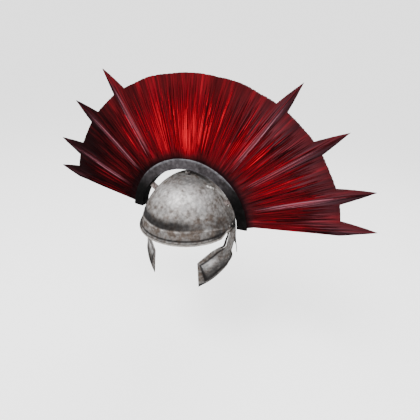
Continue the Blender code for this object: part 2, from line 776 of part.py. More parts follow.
def build_pin(name, frame, collection):
    end = HINGE_LENGTH / 2 + GAP
    half_profile = ((end + PIN_HEAD, 0.0), (end + PIN_HEAD, PIN_HEAD_RADIUS), (end, PIN_HEAD_RADIUS))
    half_profile += ((end, PIN_RADIUS),)
    profile = half_profile + tuple((-place, radius) for place, radius in reversed(half_profile))
    pin = turned(name, profile, "edging", collection)
    pin.matrix_world = frame @ Matrix.Rotation(math.pi / 2, 4, "Z")


def rivet_profile(wall):
    """Profile of a rivet that holds a leaf behind a wall: head outside, tail inside."""
    head = LEAF_SEAT
    tail = -wall - LEAF_SEAT * 2 - LEAF_SHEET
    dome = [(head + RIVET_HEAD * rise, RIVET_HEAD_RADIUS * width) for rise, width in RIVET_DOME]
    end = [(tail - RIVET_HEAD * drop, RIVET_HEAD_RADIUS * width) for drop, width in RIVET_TAIL]
    return dome + [(head, RIVET_RADIUS), (tail, RIVET_RADIUS)] + end


def build_hinge(label, side, bowl, guard, collection, cutters):
    """Both leaves, the pin and the rivets of one cheek guard's hinge."""
    frame = hinge_matrix(side)
    axis = add_axis(label, frame, collection)
    carry(axis, guard)
    build_pin(f"hinge_pin_{label}", frame, collection)
    for upward, wall_piece, word in ((True, bowl, "bowl"), (False, guard, "cheek")):
        leaf = build_leaf(f"{word}_hinge_{label}", side, upward, collection, cutters)
        wall = BOWL_WALL if upward else CHEEK_WALL
        tilt = math.atan(leaf_lean(upward)) * (1 if upward else -1)
        for number, (along, height) in enumerate(rivet_places(upward), start=1):
            # a rivet's local +X points out of the helmet, square to the leaf
            face = leaf_seat(upward, height) + LEAF_SHEET / 2 + LEAF_SEAT + wall + SEAT_BULGE
            place = frame @ Matrix.Translation((face, along, height)) @ Matrix.Rotation(tilt, 4, "Y")
            rivet = turned(f"{word}_rivet_{label}_{number}", rivet_profile(wall), "steel", collection)
            rivet.matrix_world = place
            hole_name = f"{word}_hole_{label}_{number}"
            hole = rod_mesh(hole_name, RIVET_RADIUS + GAP, HOLE_REACH * 2)
            hole = add_cutter(hole_name, hole, cutters)
            hole.matrix_world = place
            cut(wall_piece, hole)
            cut(leaf, hole)
            if not upward:
                carry(axis, rivet)
        if not upward:
            carry(axis, leaf)


def build_helmet():
    clear_scene()
    helmet = new_collection("helmet")
    cutters = new_collection("cutters")
    bowl = build_bowl(helmet)
    build_binding(helmet)
    build_channel(helmet)
    build_hair(helmet)
    bpy.context.view_layer.update()
    bowl_tree = BVHTree.FromObject(bowl, bpy.context.evaluated_depsgraph_get())
    for place, degrees in POST_ANGLES.items():
        build_post(place, degrees, bowl_tree, helmet)
    for label, side in (("left", 1), ("right", -1)):
        guard = build_cheek_guard(f"cheek_guard_{label}", side, helmet)
        build_hinge(label, side, bowl, guard, helmet, cutters)


build_helmet()
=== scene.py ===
"""Look of a Roman helmet with a side-to-side crest of horsehair, dressed over its measured frame.

The helmet faces -Y and +Z is up. The origin is the middle of the head opening, in the plane of the
brow's lower edge. The wearer's left is +X. All lengths are metres.
"""
from __future__ import annotations

import logging
import math
from dataclasses import dataclass
from enum import Enum

import bpy
import numpy as np
from mathutils import Matrix, Vector
from mathutils.bvhtree import BVHTree

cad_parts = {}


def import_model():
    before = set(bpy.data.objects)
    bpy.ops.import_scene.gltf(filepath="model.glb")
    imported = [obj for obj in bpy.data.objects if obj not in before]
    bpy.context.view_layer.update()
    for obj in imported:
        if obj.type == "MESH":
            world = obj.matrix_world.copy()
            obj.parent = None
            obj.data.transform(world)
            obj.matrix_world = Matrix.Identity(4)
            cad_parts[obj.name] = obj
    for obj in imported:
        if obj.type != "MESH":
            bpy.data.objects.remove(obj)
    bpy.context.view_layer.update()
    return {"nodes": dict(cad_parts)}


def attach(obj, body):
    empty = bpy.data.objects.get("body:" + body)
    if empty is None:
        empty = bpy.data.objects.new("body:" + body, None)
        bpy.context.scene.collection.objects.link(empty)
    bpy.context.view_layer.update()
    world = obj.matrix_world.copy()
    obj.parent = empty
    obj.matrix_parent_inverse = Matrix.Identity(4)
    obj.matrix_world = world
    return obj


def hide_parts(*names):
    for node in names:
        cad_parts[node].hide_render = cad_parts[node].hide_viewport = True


LOG = logging.getLogger("helmet")
MM = 0.001
KEPT_NODES = ("bowl_hinge", "cheek_hinge", "bowl_rivet", "cheek_rivet", "hinge_pin")
Array = np.ndarray
Material = bpy.types.Material
Node = bpy.types.Node
Piece = bpy.types.Object
Socket = bpy.types.NodeSocket
Table = tuple[tuple[float, ...], ...]
Tree = bpy.types.NodeTree


class Side(Enum):
    """Side of the wearer, as the sign of X."""

    LEFT = 1
    RIGHT = -1


class PostPlace(Enum):
    """Place of a crest post, as degrees round the arc from the wearer's left."""

    LEFT = 34.0
    TOP = 90.0
    RIGHT = 146.0


# Helpers for arrays, meshes and node trees


def linear(hex_colour: str) -> tuple[float, float, float, float]:
    """Turns an sRGB hex colour into linear RGBA.

    Args:
        hex_colour: six hex digits with a leading #.
    Returns:
        Linear red, green, blue and an alpha of 1.
    """
    channels = [int(hex_colour[start : start + 2], 16) / 255 for start in (1, 3, 5)]
    bent = [c / 12.92 if c <= 0.04045 else ((c + 0.055) / 1.055) ** 2.4 for c in channels]
    return (*bent, 1.0)


def curve(value: Array | float, table: Table, column: int) -> Array:
    """Reads a column of a table as a smooth curve.

    Between two rows it is the cubic whose ends have the rows' values and the table's mean slopes.

    Args:
        value: where to read, in the units of the table's first column.
        table: rows sorted by their first value.
        column: which value of a row to read.
    Returns:
        The curve's heights, in the shape of value.
    """
    places = np.array([row[0] for row in table])
    heights = np.array([row[column] for row in table])
    slopes = np.gradient(heights, places)
    value = np.asarray(value, float)
    left = np.clip(np.searchsorted(places, value, side="right") - 1, 0, len(places) - 2)
    width = places[left + 1] - places[left]
    t = (value - places[left]) / width
    return (
        (2 * t**3 - 3 * t**2 + 1) * heights[left]
        + (t**3 - 2 * t**2 + t) * width * slopes[left]
        + (3 * t**2 - 2 * t**3) * heights[left + 1]
        + (t**3 - t**2) * width * slopes[left + 1]
    )


def ramp(value: Array, low: float, high: float) -> Array:
    """Smooth step: 0 up to low, 1 from high on, and 3t^2 - 2t^3 between them."""
    t = np.clip((value - low) / (high - low), 0.0, 1.0)
    return t * t * (3.0 - 2.0 * t)


def fall(value: Array, low: float, high: float) -> Array:
    """Smooth step down: 1 up to low and 0 from high on."""
    return 1.0 - ramp(value, low, high)


def bell(value: Array, middle: float, width: float) -> Array:
    """Bell curve exp(-((value - middle) / width)^2)."""
    return np.exp(-(((value - middle) / width) ** 2))


def smooth_noise(rng: np.random.Generator, count: int, reach: float) -> Array:
    """Random row of values from -1 to 1, each averaged with its neighbours.

    Args:
        rng: source of the random numbers.
        count: how many values.
        reach: how many neighbours a value is averaged over, on each side.
    Returns:
        The row, scaled so that its largest value is 1 away from 0.
    """
    half = max(1, int(reach * 3))
    weights = np.exp(-((np.arange(-half, half + 1) / max(reach, 0.01)) ** 2))
    row = np.convolve(rng.normal(size=count + 2 * half), weights / weights.sum(), mode="valid")
    return row / np.abs(row).max()


def grid_faces(rows: int, columns: int, wrap: bool = False) -> Array:
    """Corner numbers of the quads of a grid whose vertices run row by row.

    Args:
        rows: rows of vertices.
        columns: vertices in a row.
        wrap: whether the last vertex of a row joins its first.
    Returns:
        One quad on each line.
    """
    row = np.arange(rows - 1)[:, None] * columns
    column = np.arange(columns if wrap else columns - 1)[None, :]
    beside, below = (column + 1) % columns, row + columns
    corners = (row + column, row + beside, below + beside, below + column)
    return np.stack([corner.ravel() for corner in corners], axis=1)


def loft_faces(stations: int, size: int, flip: bool = False) -> list[Array]:
    """Faces of a closed outline that is carried along stations, with both ends capped.

    Args:
        stations: outlines along the piece.
        size: vertices of each outline.
        flip: whether the faces turn the other way round.
    Returns:
        The quads of the sides and the faces of the first and the last end.
    """
    ring = np.arange(size)[None, :]
    groups = [grid_faces(stations, size, wrap=True), ring[:, ::-1], ring + (stations - 1) * size]
    return [group[:, ::-1] for group in groups] if flip else groups


def make_mesh(name: str, points: Array, faces: list[Array], sharp: float = 40.0) -> Piece:
    """Puts points and faces into a smooth-shaded object at the origin.

    Args:
        name: the piece's name.
        points: vertex places, with X, Y and Z last.
        faces: arrays of corner numbers, each array with faces of one size.
        sharp: edges whose faces meet at more degrees than this are shaded sharp.
    Returns:
        The linked object.
    """
    mesh = bpy.data.meshes.new(name)
    corners = [face for group in faces for face in group.tolist()]
    mesh.from_pydata(points.reshape(-1, 3).tolist(), [], corners)
    mesh.validate()
    mesh.shade_smooth()
    mesh.set_sharp_from_angle(angle=math.radians(sharp))
    piece = bpy.data.objects.new(name, mesh)
    bpy.context.scene.collection.objects.link(piece)
    return piece


def set_attributes(piece: Piece, shape: tuple[int, ...], **attributes: Array | float) -> None:
    """Stores one number for each vertex under each name that the materials read.

    Args:
        piece: the piece.
        shape: the grid of its vertices.
        attributes: a value, or values that spread over the grid, by attribute name.
    """
    for name, values in attributes.items():
        attribute = piece.data.attributes.new(name, "FLOAT", "POINT")
        spread = np.broadcast_to(values, shape).astype(np.float32)
        attribute.data.foreach_set("value", np.ascontiguousarray(spread).ravel())


def set_uv(piece: Piece, across: Array, along: Array) -> None:
    """Gives the piece a UV map from one pair of values for each vertex.

    Args:
        piece: the piece.
        across: U of each vertex.
        along: V of each vertex.
    """
    corners = np.empty(len(piece.data.loops), dtype=np.int32)
    piece.data.loops.foreach_get("vertex_index", corners)
    pairs = np.stack((across.ravel(), along.ravel()), axis=1)[corners]
    layer = piece.data.uv_layers.new(name="strands")
    layer.data.foreach_set("uv", np.ascontiguousarray(pairs, dtype=np.float32).ravel())


def push_in(piece: Piece, depths: Array) -> None:
    """Moves each vertex inward along its normal by its own depth.

    Args:
        piece: the piece.
        depths: how far each vertex moves.
    """
    count = len(piece.data.vertices)
    places, normals = np.empty(count * 3), np.empty(count * 3)
    piece.data.vertices.foreach_get("co", places)
    piece.data.vertices.foreach_get("normal", normals)
    moved = places.reshape(-1, 3) - normals.reshape(-1, 3) * depths.reshape(-1, 1)
    piece.data.vertices.foreach_set("co", moved.ravel())
    piece.data.update()


@dataclass(frozen=True)
class Hammering:
    """Overlapping hammer marks, each a shallow dish.

    At d from its middle, a mark of radius r is depth (1 - (d / r)^2)^2 deep. The seed starts the
    random numbers. Radius and depth are those of a mean mark.
    """

    seed: int
    count: int
    radius: float
    depth: float
    spread: tuple[float, float] = (0.6, 1.4)

    def depths(self, points: Array) -> Array:
        """How far each point of a surface is pushed in.

        Args:
            points: the places, with X, Y and Z last.
        Returns:
            The depth at each of them.
        """
        points = points.reshape(-1, 3)
        rng = np.random.default_rng(self.seed)
        centres = points[rng.integers(0, len(points), self.count)]
        total = np.zeros(len(points))
        for centre, size in zip(centres, rng.uniform(*self.spread, self.count)):
            near = ((points - centre) ** 2).sum(axis=1) / (self.radius * size) ** 2
            total = np.maximum(total, self.depth * size * np.clip(1.0 - near, 0.0, 1.0) ** 2)
        return total


def add_modifier(piece: Piece, kind: str, **settings: object) -> None:
    """Adds a modifier of a kind to a piece, with its settings.

    Args:
        piece: the piece.
        kind: the modifier's type.
        settings: its properties.
    """
    modifier = piece.modifiers.new(kind.lower(), kind)
    for name, value in settings.items():
        setattr(modifier, name, value)


def add_wall(piece: Piece, thickness: float) -> None:
    """Thickens an open sheet inward and rounds its edge by 0.3 of the thickness.

    Args:
        piece: the sheet.
        thickness: of the wall.
    """
    add_modifier(piece, "SOLIDIFY", thickness=thickness, offset=-1.0)
    corner = math.radians(60)
    width = thickness * 0.3
    add_modifier(piece, "BEVEL", width=width, segments=2, limit_method="ANGLE", angle_limit=corner)


def feed(tree: Tree, node: Node, inputs: dict) -> None:
    """Gives inputs, by name or number, their number, their colour or the socket that feeds them.

    Args:
        tree: the node tree.
        node: the node that has the inputs.
        inputs: what each gets, by name or number.
    """
    for place, value in inputs.items():
        if isinstance(value, Socket):
            tree.links.new(value, node.inputs[place])
        else:
            node.inputs[place].default_value = value


def add_node(tree: Tree, kind: str, inputs: dict | None = None, **settings: object) -> Node:
    """Adds a node.

    Args:
        tree: the tree that it joins.
        kind: its type without the leading ShaderNode.
        inputs: numbers, colours and feeding sockets for its inputs, by input name or number.
        settings: its own properties.
    Returns:
        The node.
    """
    node = tree.nodes.new(f"ShaderNode{kind}")
    for name, value in settings.items():
        setattr(node, name, value)
    feed(tree, node, inputs or {})
    return node


def attribute(tree: Tree, name: str) -> Socket:
    """The number that the piece stores under a name."""
    return add_node(tree, "Attribute", attribute_name=name).outputs["Fac"]


def noise(tree: Tree, place: Socket, size_mm: float, **shape: float) -> Node:
    """Noise whose spots are about size_mm wide."""
    return add_node(tree, "TexNoise", {"Scale": 1 / (size_mm * MM), "Vector": place, **shape})


def times_plus(tree: Tree, value: Socket, factor: float, added: Socket | float) -> Socket:
    """value * factor + added."""
    inputs = {0: value, 1: factor, 2: added}
    return add_node(tree, "Math", inputs, operation="MULTIPLY_ADD").outputs[0]


def map_range(
    tree: Tree,
    value: Socket,
    source: tuple[float, float] = (0.0, 1.0),
    target: tuple[float, float] = (0.0, 1.0),
    kind: str = "LINEAR",
) -> Socket:
    """Carries a number from one range to another.

    Args:
        tree: the tree.
        value: the number.
        source: the range that it comes from.
        target: the range that it goes to.
        kind: how it runs between the ends, LINEAR or SMOOTHSTEP.
    Returns:
        The carried number, clamped to the target.
    """
    ends = dict(zip(("From Min", "From Max", "To Min", "To Max"), (*source, *target)))
    return add_node(
        tree, "MapRange", {"Value": value, **ends}, interpolation_type=kind
    ).outputs["Result"]


def mix(
    tree: Tree, share: Socket | float, under: object, over: object, blend: str = "MIX"
) -> Socket:
    """Lays a share of one colour, a value or a socket, over another."""
    inputs = {0: share, 6: under, 7: over}
    return add_node(tree, "Mix", inputs, data_type="RGBA", blend_type=blend).outputs[2]


def colour_ramp(tree: Tree, value: Socket, stops: tuple) -> Socket:
    """Colour ramp through pairs of place and colour, the first at 0 and the last at 1.

    Args:
        tree: the node tree.
        value: the place to read, from 0 to 1.
        stops: the pairs.
    Returns:
        The colour.
    """
    node = add_node(tree, "ValToRGB", {"Fac": value})
    elements = node.color_ramp.elements
    for place, colour in stops[1:-1]:
        elements.new(place).color = colour
    elements[0].color, elements[-1].color = stops[0][1], stops[-1][1]
    return node.outputs["Color"]


def new_material(name: str) -> tuple[Material, Tree, Node]:
    """Makes a material and returns it with its node tree and its Principled shader.

    Args:
        name: the material's name.
    Returns:
        The material, its node tree and its shader.
    """
    material = bpy.data.materials.new(name)
    material.use_nodes = True
    return material, material.node_tree, material.node_tree.nodes["Principled BSDF"]


# Finishes


@dataclass(frozen=True)
class WornIron:
    """Hand-raised iron sheet, pale where it was polished and where a reflection is painted, brown
    elsewhere.

    The blotches are tarnish, the small dark rings outline hammer dimples, and the attributes tell
    where soot and grease settled and where shade is painted (grime), where cloth rubbed and where
    reflections and sheens are painted (shine), and where the sheet's ridges were worn bright and
    where highlights and glints are painted (edge). Patterns are as wide in millimetres as on a real
    sheet, but for the grain, which is finer there and drawn coarser so that it shows.
    """

    name: str
    pale: str = "#c3c1c0"
    brown: str = "#524943"
    soot_and_shade: str = "#151415"
    bright: str = "#dedcd8"
    reflection: str = "#8a8683"
    blotch_mm: float = 17.0
    speckle_mm: float = 7.0
    pit_mm: float = 14.0
    wander_mm: float = 14.0
    grain_mm: float = 1.6
    bump_mm: float = 0.9
    bump: float = 0.55
    # Grey of the pits' dishes and rings, by share of their width
    rings: Table = ((0.0, 0.88), (0.16, 1.0), (0.44, 0.64), (0.78, 0.94), (1.0, 1.0))
    speckle_weight: float = 0.38
    shine_weight: float = 0.30
    pale_range: tuple[float, float] = (0.50, 1.13)
    dark_start: float = -0.16
    dark_range: tuple[float, float] = (0.34, 1.18)
    dark_cover: float = 0.94
    edge_range: tuple[float, float] = (0.12, 0.5)
    roughness: float = 0.54
    roughness_more: float = 0.14
    roughness_less: float = 0.10
    dark_roughness: float = 0.42
    metallic: float = 0.6
    gloss: float = 0.2

    def build(self) -> Material:
        """Builds the material.

        Returns:
            The material.
        """
        material, tree, shader = new_material(self.name)
        place = add_node(tree, "TexCoord").outputs["Object"]
        blotch = noise(tree, place, self.blotch_mm, Detail=5.0, Roughness=0.6).outputs["Fac"]
        speckle = noise(tree, place, self.speckle_mm, Detail=3.0).outputs["Fac"]
        grain = noise(tree, place, self.grain_mm, Detail=2.0).outputs["Fac"]
        wander = noise(tree, place, self.pit_mm).outputs["Color"]
        by = (self.wander_mm * MM,) * 3
        bent = add_node(
            tree, "VectorMath", {0: wander, 1: by, 2: place}, operation="MULTIPLY_ADD"
        ).outputs[0]
        dish = add_node(
            tree, "TexVoronoi", {"Scale": 1 / (self.pit_mm * MM), "Vector": bent}
        ).outputs["Distance"]

        # Tarnish, lifted where the sheet was polished and where a reflection is painted, and the
        # rings of the pits
        mottled = times_plus(tree, speckle, self.speckle_weight, blotch)
        lightened = times_plus(tree, attribute(tree, "shine"), self.shine_weight, mottled)
        pale_share = map_range(tree, lightened, self.pale_range, kind="SMOOTHSTEP")
        base = mix(tree, pale_share, linear(self.brown), linear(self.pale))
        stops = tuple((where, (grey, grey, grey, 1.0)) for where, grey in self.rings)
        pitted = mix(tree, 1.0, base, colour_ramp(tree, dish, stops), "MULTIPLY")

        # Soot and painted shade over it, with a ragged edge, and bright ridges: worn, and painted
        # highlights and glints
        ragged = times_plus(tree, blotch, 1.0, self.dark_start)
        dark_share = add_node(
            tree, "Math", {0: attribute(tree, "grime"), 1: ragged}, operation="ADD"
        ).outputs[0]
        soot_and_shade = map_range(tree, dark_share, self.dark_range, (0.0, self.dark_cover), "SMOOTHSTEP")
        darkened = mix(tree, soot_and_shade, pitted, linear(self.soot_and_shade))
        edge_share = add_node(
            tree, "Math", {0: attribute(tree, "edge"), 1: speckle}, operation="MULTIPLY"
        ).outputs[0]
        brightening = map_range(tree, edge_share, self.edge_range)
        coloured = mix(tree, brightening, darkened, linear(self.bright))

        roughness = (self.roughness + self.roughness_more, self.roughness - self.roughness_less)
        rough = map_range(tree, pale_share, target=roughness)
        dull = times_plus(tree, soot_and_shade, self.dark_roughness, rough)
        height = times_plus(tree, dish, 0.8, times_plus(tree, grain, 0.3, speckle))
        relief = {"Strength": self.bump, "Distance": self.bump_mm * MM, "Height": height}
        inputs = {
            "Base Color": coloured,
            "Roughness": dull,
            "Metallic": self.metallic,
            "Specular IOR Level": self.gloss,
            "Specular Tint": linear(self.reflection),
            "Normal": add_node(tree, "Bump", relief).outputs["Normal"],
        }
        feed(tree, shader, inputs)
        return material


@dataclass(frozen=True)
class DyedHorsehair:
    """Madder-dyed horsehair: deep red strands, brightest where light is painted into their tint.

    The tint attribute runs from the darkest strands at 0 to the brightest at 1 and holds painted
    light and shade, and the pale one marks a painted sheen on the strands of the pointed locks and
    on one side of the fan. A hair is 0.1 mm thick, too fine to show, so the streaks are drawn about
    1 mm wide at the rim.
    """

    name: str
    dark: str = "#0d0203"
    deep: str = "#33070a"
    red: str = "#660812"
    bright: str = "#cf0220"
    sheen_mauve: str = "#8d5a66"
    places: tuple[float, ...] = (0.0, 0.30, 0.58, 1.0)
    # Streaks in half a turn of the fan, and along a strand
    streaks: float = 900.0
    streaks_along: float = 5.0
    streak_weight: float = 0.42
    bump: float = 0.5
    bump_mm: float = 0.6
    roughness: float = 0.8
    gloss: float = 0.02

    def build(self) -> Material:
        """Builds the material.

        Returns:
            The material.
        """
        material, tree, shader = new_material(self.name)
        uv = add_node(tree, "UVMap", uv_map="strands").outputs["UV"]
        scale = (self.streaks, self.streaks_along, 1.0)
        stretched = add_node(tree, "Mapping", {"Scale": scale, "Vector": uv}).outputs["Vector"]
        fibre = add_node(
            tree, "TexNoise", {"Scale": 1.0, "Detail": 3.0, "Vector": stretched}
        ).outputs["Fac"]
        varied = times_plus(tree, fibre, self.streak_weight, attribute(tree, "tint"))
        level = add_node(
            tree, "Math", {0: varied, 1: self.streak_weight / 2}, operation="SUBTRACT"
        ).outputs[0]
        colours = (linear(c) for c in (self.dark, self.deep, self.red, self.bright))
        shades = colour_ramp(tree, level, tuple(zip(self.places, colours)))
        relief = {"Strength": self.bump, "Distance": self.bump_mm * MM, "Height": fibre}
        inputs = {
            "Base Color": mix(tree, attribute(tree, "pale"), shades, linear(self.sheen_mauve)),
            "Roughness": self.roughness,
            "Specular IOR Level": self.gloss,
            "Normal": add_node(tree, "Bump", relief).outputs["Normal"],
        }
        feed(tree, shader, inputs)
        return material


@dataclass(frozen=True)
class Paper:
    """Matt white studio paper under and behind the helmet."""

    name: str = "studio paper"
    colour: str = "#ffffff"
    roughness: float = 0.9

    def build(self) -> Material:
        """Builds the material.

        Returns:
            The material.
        """
        material, tree, shader = new_material(self.name)
        feed(tree, shader, {"Base Color": linear(self.colour), "Roughness": self.roughness})
        return material


# Sub-assemblies


def draw(rng: np.random.Generator, count: int, low: float, high: float) -> Array:
    """A random number between low and high for each of some strands, one on each line."""
    return rng.uniform(low, high, count)[:, None]


def dress(piece: Piece, finish: Material, body: str, slot: str, *nodes: str) -> None:
    """Finishes a piece and ties it to the frame.

    Args:
        piece: the piece, at the origin.
        finish: its material.
        body: the frame's body that it rides on.
        slot: the record's material slot for the piece; not used.
        nodes: the frame's solids that it stands for.
    """
    piece.data.materials.append(finish)
    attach(piece, body)
    if nodes:
        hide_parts(*nodes)
    LOG.info("%s: %d vertices on %s", piece.name, len(piece.data.vertices), body)


@dataclass
class Bowl:
    """Skull, flared brow, temple edges, nape and neck guard, raised from one sheet."""

    wall: float = 0.0015
    rim_half_width: float = 0.1098
    rim_half_length: float = 0.1209
    brow_height: float = 0.0284
    crown_height: float = 0.1215
    crown_setback: float = 0.0076
    crown_fullness: float = 1.45
    crown_roundness: float = 0.52
    brow_edge: float = 0.0012
    temple_rise: float = 0.010
    brow_end: float = 66.0
    temple_start: float = 80.0
    nape_start: float = 106.0
    nape_slant: float = 7.0
    nape_depth: float = 0.091
    nape_back_drop: float = 0.008
    nape_side_flare: float = 0.012
    neck_guard_reach: float = 0.034
    # Base of the crown: degrees from the front, share of the rim's reach, share of brow_height
    crown_base_table: Table = (
        (0.0, 0.946, 1.00), (45.0, 0.925, 0.98), (60.0, 0.926, 0.85), (75.0, 0.948, 0.65),
        (90.0, 0.972, 0.50), (105.0, 0.995, 0.50), (120.0, 1.005, 0.50), (150.0, 0.995, 0.50),
        (180.0, 0.980, 0.50),
    )
    # Nape: share of the drop, share of nape_side_flare, share of neck_guard_reach
    nape_table: Table = (
        (0.00, 0.00, 0.00), (0.25, 0.26, -0.04), (0.50, 0.42, -0.14), (0.68, 0.62, -0.08),
        (0.80, 0.78, 0.22), (0.90, 0.89, 0.60), (1.00, 1.00, 1.00),
    )
    ridge_height: float = 0.0008
    ridge_width: float = 0.0016
    marks: Hammering = Hammering(seed=7, count=1100, radius=0.0085, depth=0.00032)
    step: float = 1.0
    # Painted glints, white highlights on dents: place on the skull and reach
    glints: tuple[tuple[tuple[float, float, float], float], ...] = (
        ((0.0495, -0.0136, 0.1017), 0.0030),
        ((0.0549, -0.0083, 0.0986), 0.0036),
        ((0.0590, -0.0042, 0.0956), 0.0026),
        ((0.0921, 0.0110, 0.0558), 0.0030),
    )
    glint_squeeze: tuple[float, float, float] = (1.0, 1.0, 1.8)

    def rim_reach(self, angle: Array) -> Array:
        """Reach of the rim, an ellipse: 1 / hypot(sin a / half width, cos a / half length)."""
        across, along = np.sin(angle) / self.rim_half_width, np.cos(angle) / self.rim_half_length
        return 1.0 / np.hypot(across, along)

    def crown_base(self, degrees: Array) -> Array:
        """Foot of the crown, a share of the rim's reach at a share of the brow's height.

        Args:
            degrees: angle from the front, to the wearer's left.
        Returns:
            The places.
        """
        angle, away = np.radians(degrees), np.abs(degrees)
        reach = self.rim_reach(angle) * curve(away, self.crown_base_table, 1)
        height = self.brow_height * curve(away, self.crown_base_table, 2)
        return np.stack((reach * np.sin(angle), -reach * np.cos(angle), height), axis=-1)

    def crown_point(self, degrees: Array, share: Array) -> Array:
        """Place on the skull, whose rings narrow by (1 - share^fullness)^roundness upward.

        Args:
            degrees: angle from the front, to the wearer's left.
            share: share of the way up to the top.
        Returns:
            The places.
        """
        base = self.crown_base(degrees)
        narrowing = (1.0 - share**self.crown_fullness) ** self.crown_roundness
        top = np.array((0.0, self.crown_setback, self.crown_height))
        point = top + (base - top) * narrowing[..., None]
        point[..., 2] = base[..., 2] + share * (self.crown_height - base[..., 2])
        return point

    def edge_height(self, degrees: Array) -> Array:
        """Height of the sheet's lower edge, which climbs from the brow to the temples."""
        climb = (np.abs(degrees) - self.brow_end) / (self.temple_start - self.brow_end)
        return self.brow_edge + (self.temple_rise - self.brow_edge) * np.clip(climb, 0.0, 1.0)

    def flare_point(self, degrees: Array, share: Array) -> Array:
        """Place on the straight line from the crown's foot out to the rim's ellipse.

        Args:
            degrees: angle from the front, to the wearer's left.
            share: share of the way down.
        Returns:
            The places.
        """
        angle = np.radians(degrees)
        base, ellipse = self.crown_base(degrees), self.rim_reach(angle)
        height = np.full_like(angle, self.brow_edge)
        rim = (ellipse * np.sin(angle), -ellipse * np.cos(angle), height)
        drop = base[..., 2] - self.edge_height(degrees)
        reach = share * drop / (base[..., 2] - self.brow_edge)
        return base + (np.stack(rim, axis=-1) - base) * reach[..., None]

    def nape_point(self, degrees: Array, share: Array) -> Array:
        """Place on the nape, which flares at the sides and runs into the neck guard behind.

        Args:
            degrees: angle from the front, to the wearer's left.
            share: share of the way down.
        Returns:
            The places.
        """
        turn = (np.abs(degrees) - self.nape_start) / (180.0 - self.nape_start)
        slanted = np.abs(degrees) + self.nape_slant * share * (1.0 - turn)
        angle = np.radians(slanted)
        start = self.flare_point(slanted, np.ones_like(slanted))
        weight = ramp(turn, 0.0, 1.0)
        side = (1.0 - weight) * curve(share, self.nape_table, 1) * self.nape_side_flare
        back = weight * curve(share, self.nape_table, 2) * self.neck_guard_reach
        reach = np.hypot(start[..., 0], start[..., 1]) + side + back
        drop = share * (self.nape_depth + weight * self.nape_back_drop)
        x = np.where(degrees < 0, -1.0, 1.0) * reach * np.sin(angle)
        return np.stack((x, -reach * np.cos(angle), start[..., 2] - drop), axis=-1)

    def build(self, finish: Material) -> Piece:
        """Builds the bowl as one grid round the skull and one down the nape, sharing a row.

        Args:
            finish: its material.
        Returns:
            The bowl.
        """
        around = np.arange(-180.0, 180.0, self.step)
        t = np.concatenate((np.linspace(0.02, 0.86, 46), np.linspace(0.88, 1.0, 20)))
        crown = self.crown_point(*np.meshgrid(around, 1.0 - t**1.9))
        flare = self.flare_point(*np.meshgrid(around, np.linspace(0.0, 1.0, 15)[1:]))
        skull = np.concatenate((crown, flare))
        rows, columns = skull.shape[:2]
        last = rows * columns
        top = np.array([[0.0, self.crown_setback, self.crown_height]])
        ring = np.arange(columns)
        cap = np.stack((np.full(columns, last), ring, (ring + 1) % columns), axis=1)
        behind = np.concatenate(
            (around[around >= self.nape_start], around[around <= -self.nape_start])
        )
        nape = self.nape_point(*np.meshgrid(behind, np.linspace(0.0, 1.0, 52)[1:]))
        shared = last - columns + np.round((behind + 180.0) / self.step).astype(int)
        lower = last + 1 + np.arange(nape.shape[0] * behind.size).reshape(-1, behind.size)
        numbers = np.vstack((shared, lower))
        nape_faces = numbers.ravel()[grid_faces(*numbers.shape)]
        points = np.concatenate((skull.reshape(-1, 3), top, nape.reshape(-1, 3)))
        faces = [grid_faces(rows, columns, wrap=True), cap, nape_faces]
        piece = make_mesh("bowl_skin", points, [group[:, ::-1] for group in faces], sharp=60.0)
        self.paint(piece, points, np.tile(around, rows))
        add_wall(piece, self.wall)
        dress(piece, finish, "helmet", "steel", "bowl")
        return piece

    def paint(self, piece: Piece, points: Array, degrees: Array) -> None:
        """Gives the sheet its ridge, hammer marks and the attributes that its finish reads.

        The limits of the ramps and bells are metres, or degrees from the front.

        Args:
            piece: the open sheet.
            points: its vertices, those on the skull and the flare first.
            degrees: angle from the front of each of those on the skull and the flare.
        """
        x, y, height = points.T
        around = np.zeros(len(points))
        around[: degrees.size] = degrees
        above = height - self.crown_base(around)[:, 2]
        front = fall(np.abs(around), 62.0, 84.0)
        front[degrees.size :] = 0.0
        ridge = bell(above, 0.0, self.ridge_width) * front
        push_in(piece, self.marks.depths(points) * (1.0 - ridge) - ridge * self.ridge_height)

        # Painted shade in a band over the crease that fades to the left; darker on the flare; a
        # painted shadow line round its lip; a darker haze over the band; painted shade on both
        # sides and on the nape; darker low down; painted shade under the channel
        band = ramp(above, -0.001, 0.005) * fall(above, 0.010, 0.030)
        fade = 1.0 - 0.60 * ramp(around, 5.0, 55.0)
        flare = (0.24 + 0.14 * ramp(-above, 0.008, 0.020)) * (above < 0.0) * front
        lip = 0.42 * bell(height, 0.0108, 0.0016) - 0.10 * bell(height, 0.0062, 0.0030)
        flare = flare + lip * front
        haze = 0.24 * bell(above, 0.036, 0.020) * front
        side = ramp(-x, 0.058, 0.106) * 0.62 + ramp(x, 0.076, 0.106) * 0.42
        behind = ramp(y, -0.006, 0.004) * ramp(np.abs(x), 0.070, 0.090)
        nape = 1.3 * behind * fall(height, 0.006, 0.026) * (1.0 - 0.8 * ramp(y, 0.046, 0.090))
        low = ramp(-height, 0.02, 0.10) * 0.30
        crown = ramp(height, 0.084, 0.116) * 0.44
        grime = 0.72 * band * front * fade + flare + haze + side + nape + low + crown

        # Painted reflection: pale in one patch of the front; paler along the lip and less pale on
        # the flare
        patch = bell(around, 14.0, 52.0) * bell(height, 0.088, 0.024)
        patch[degrees.size :] = 0.0
        pale_lip = 0.25 * bell(height, 0.0062, 0.0034) * front
        shine = 0.85 * patch - 0.15 * (above < 0.0) + pale_lip

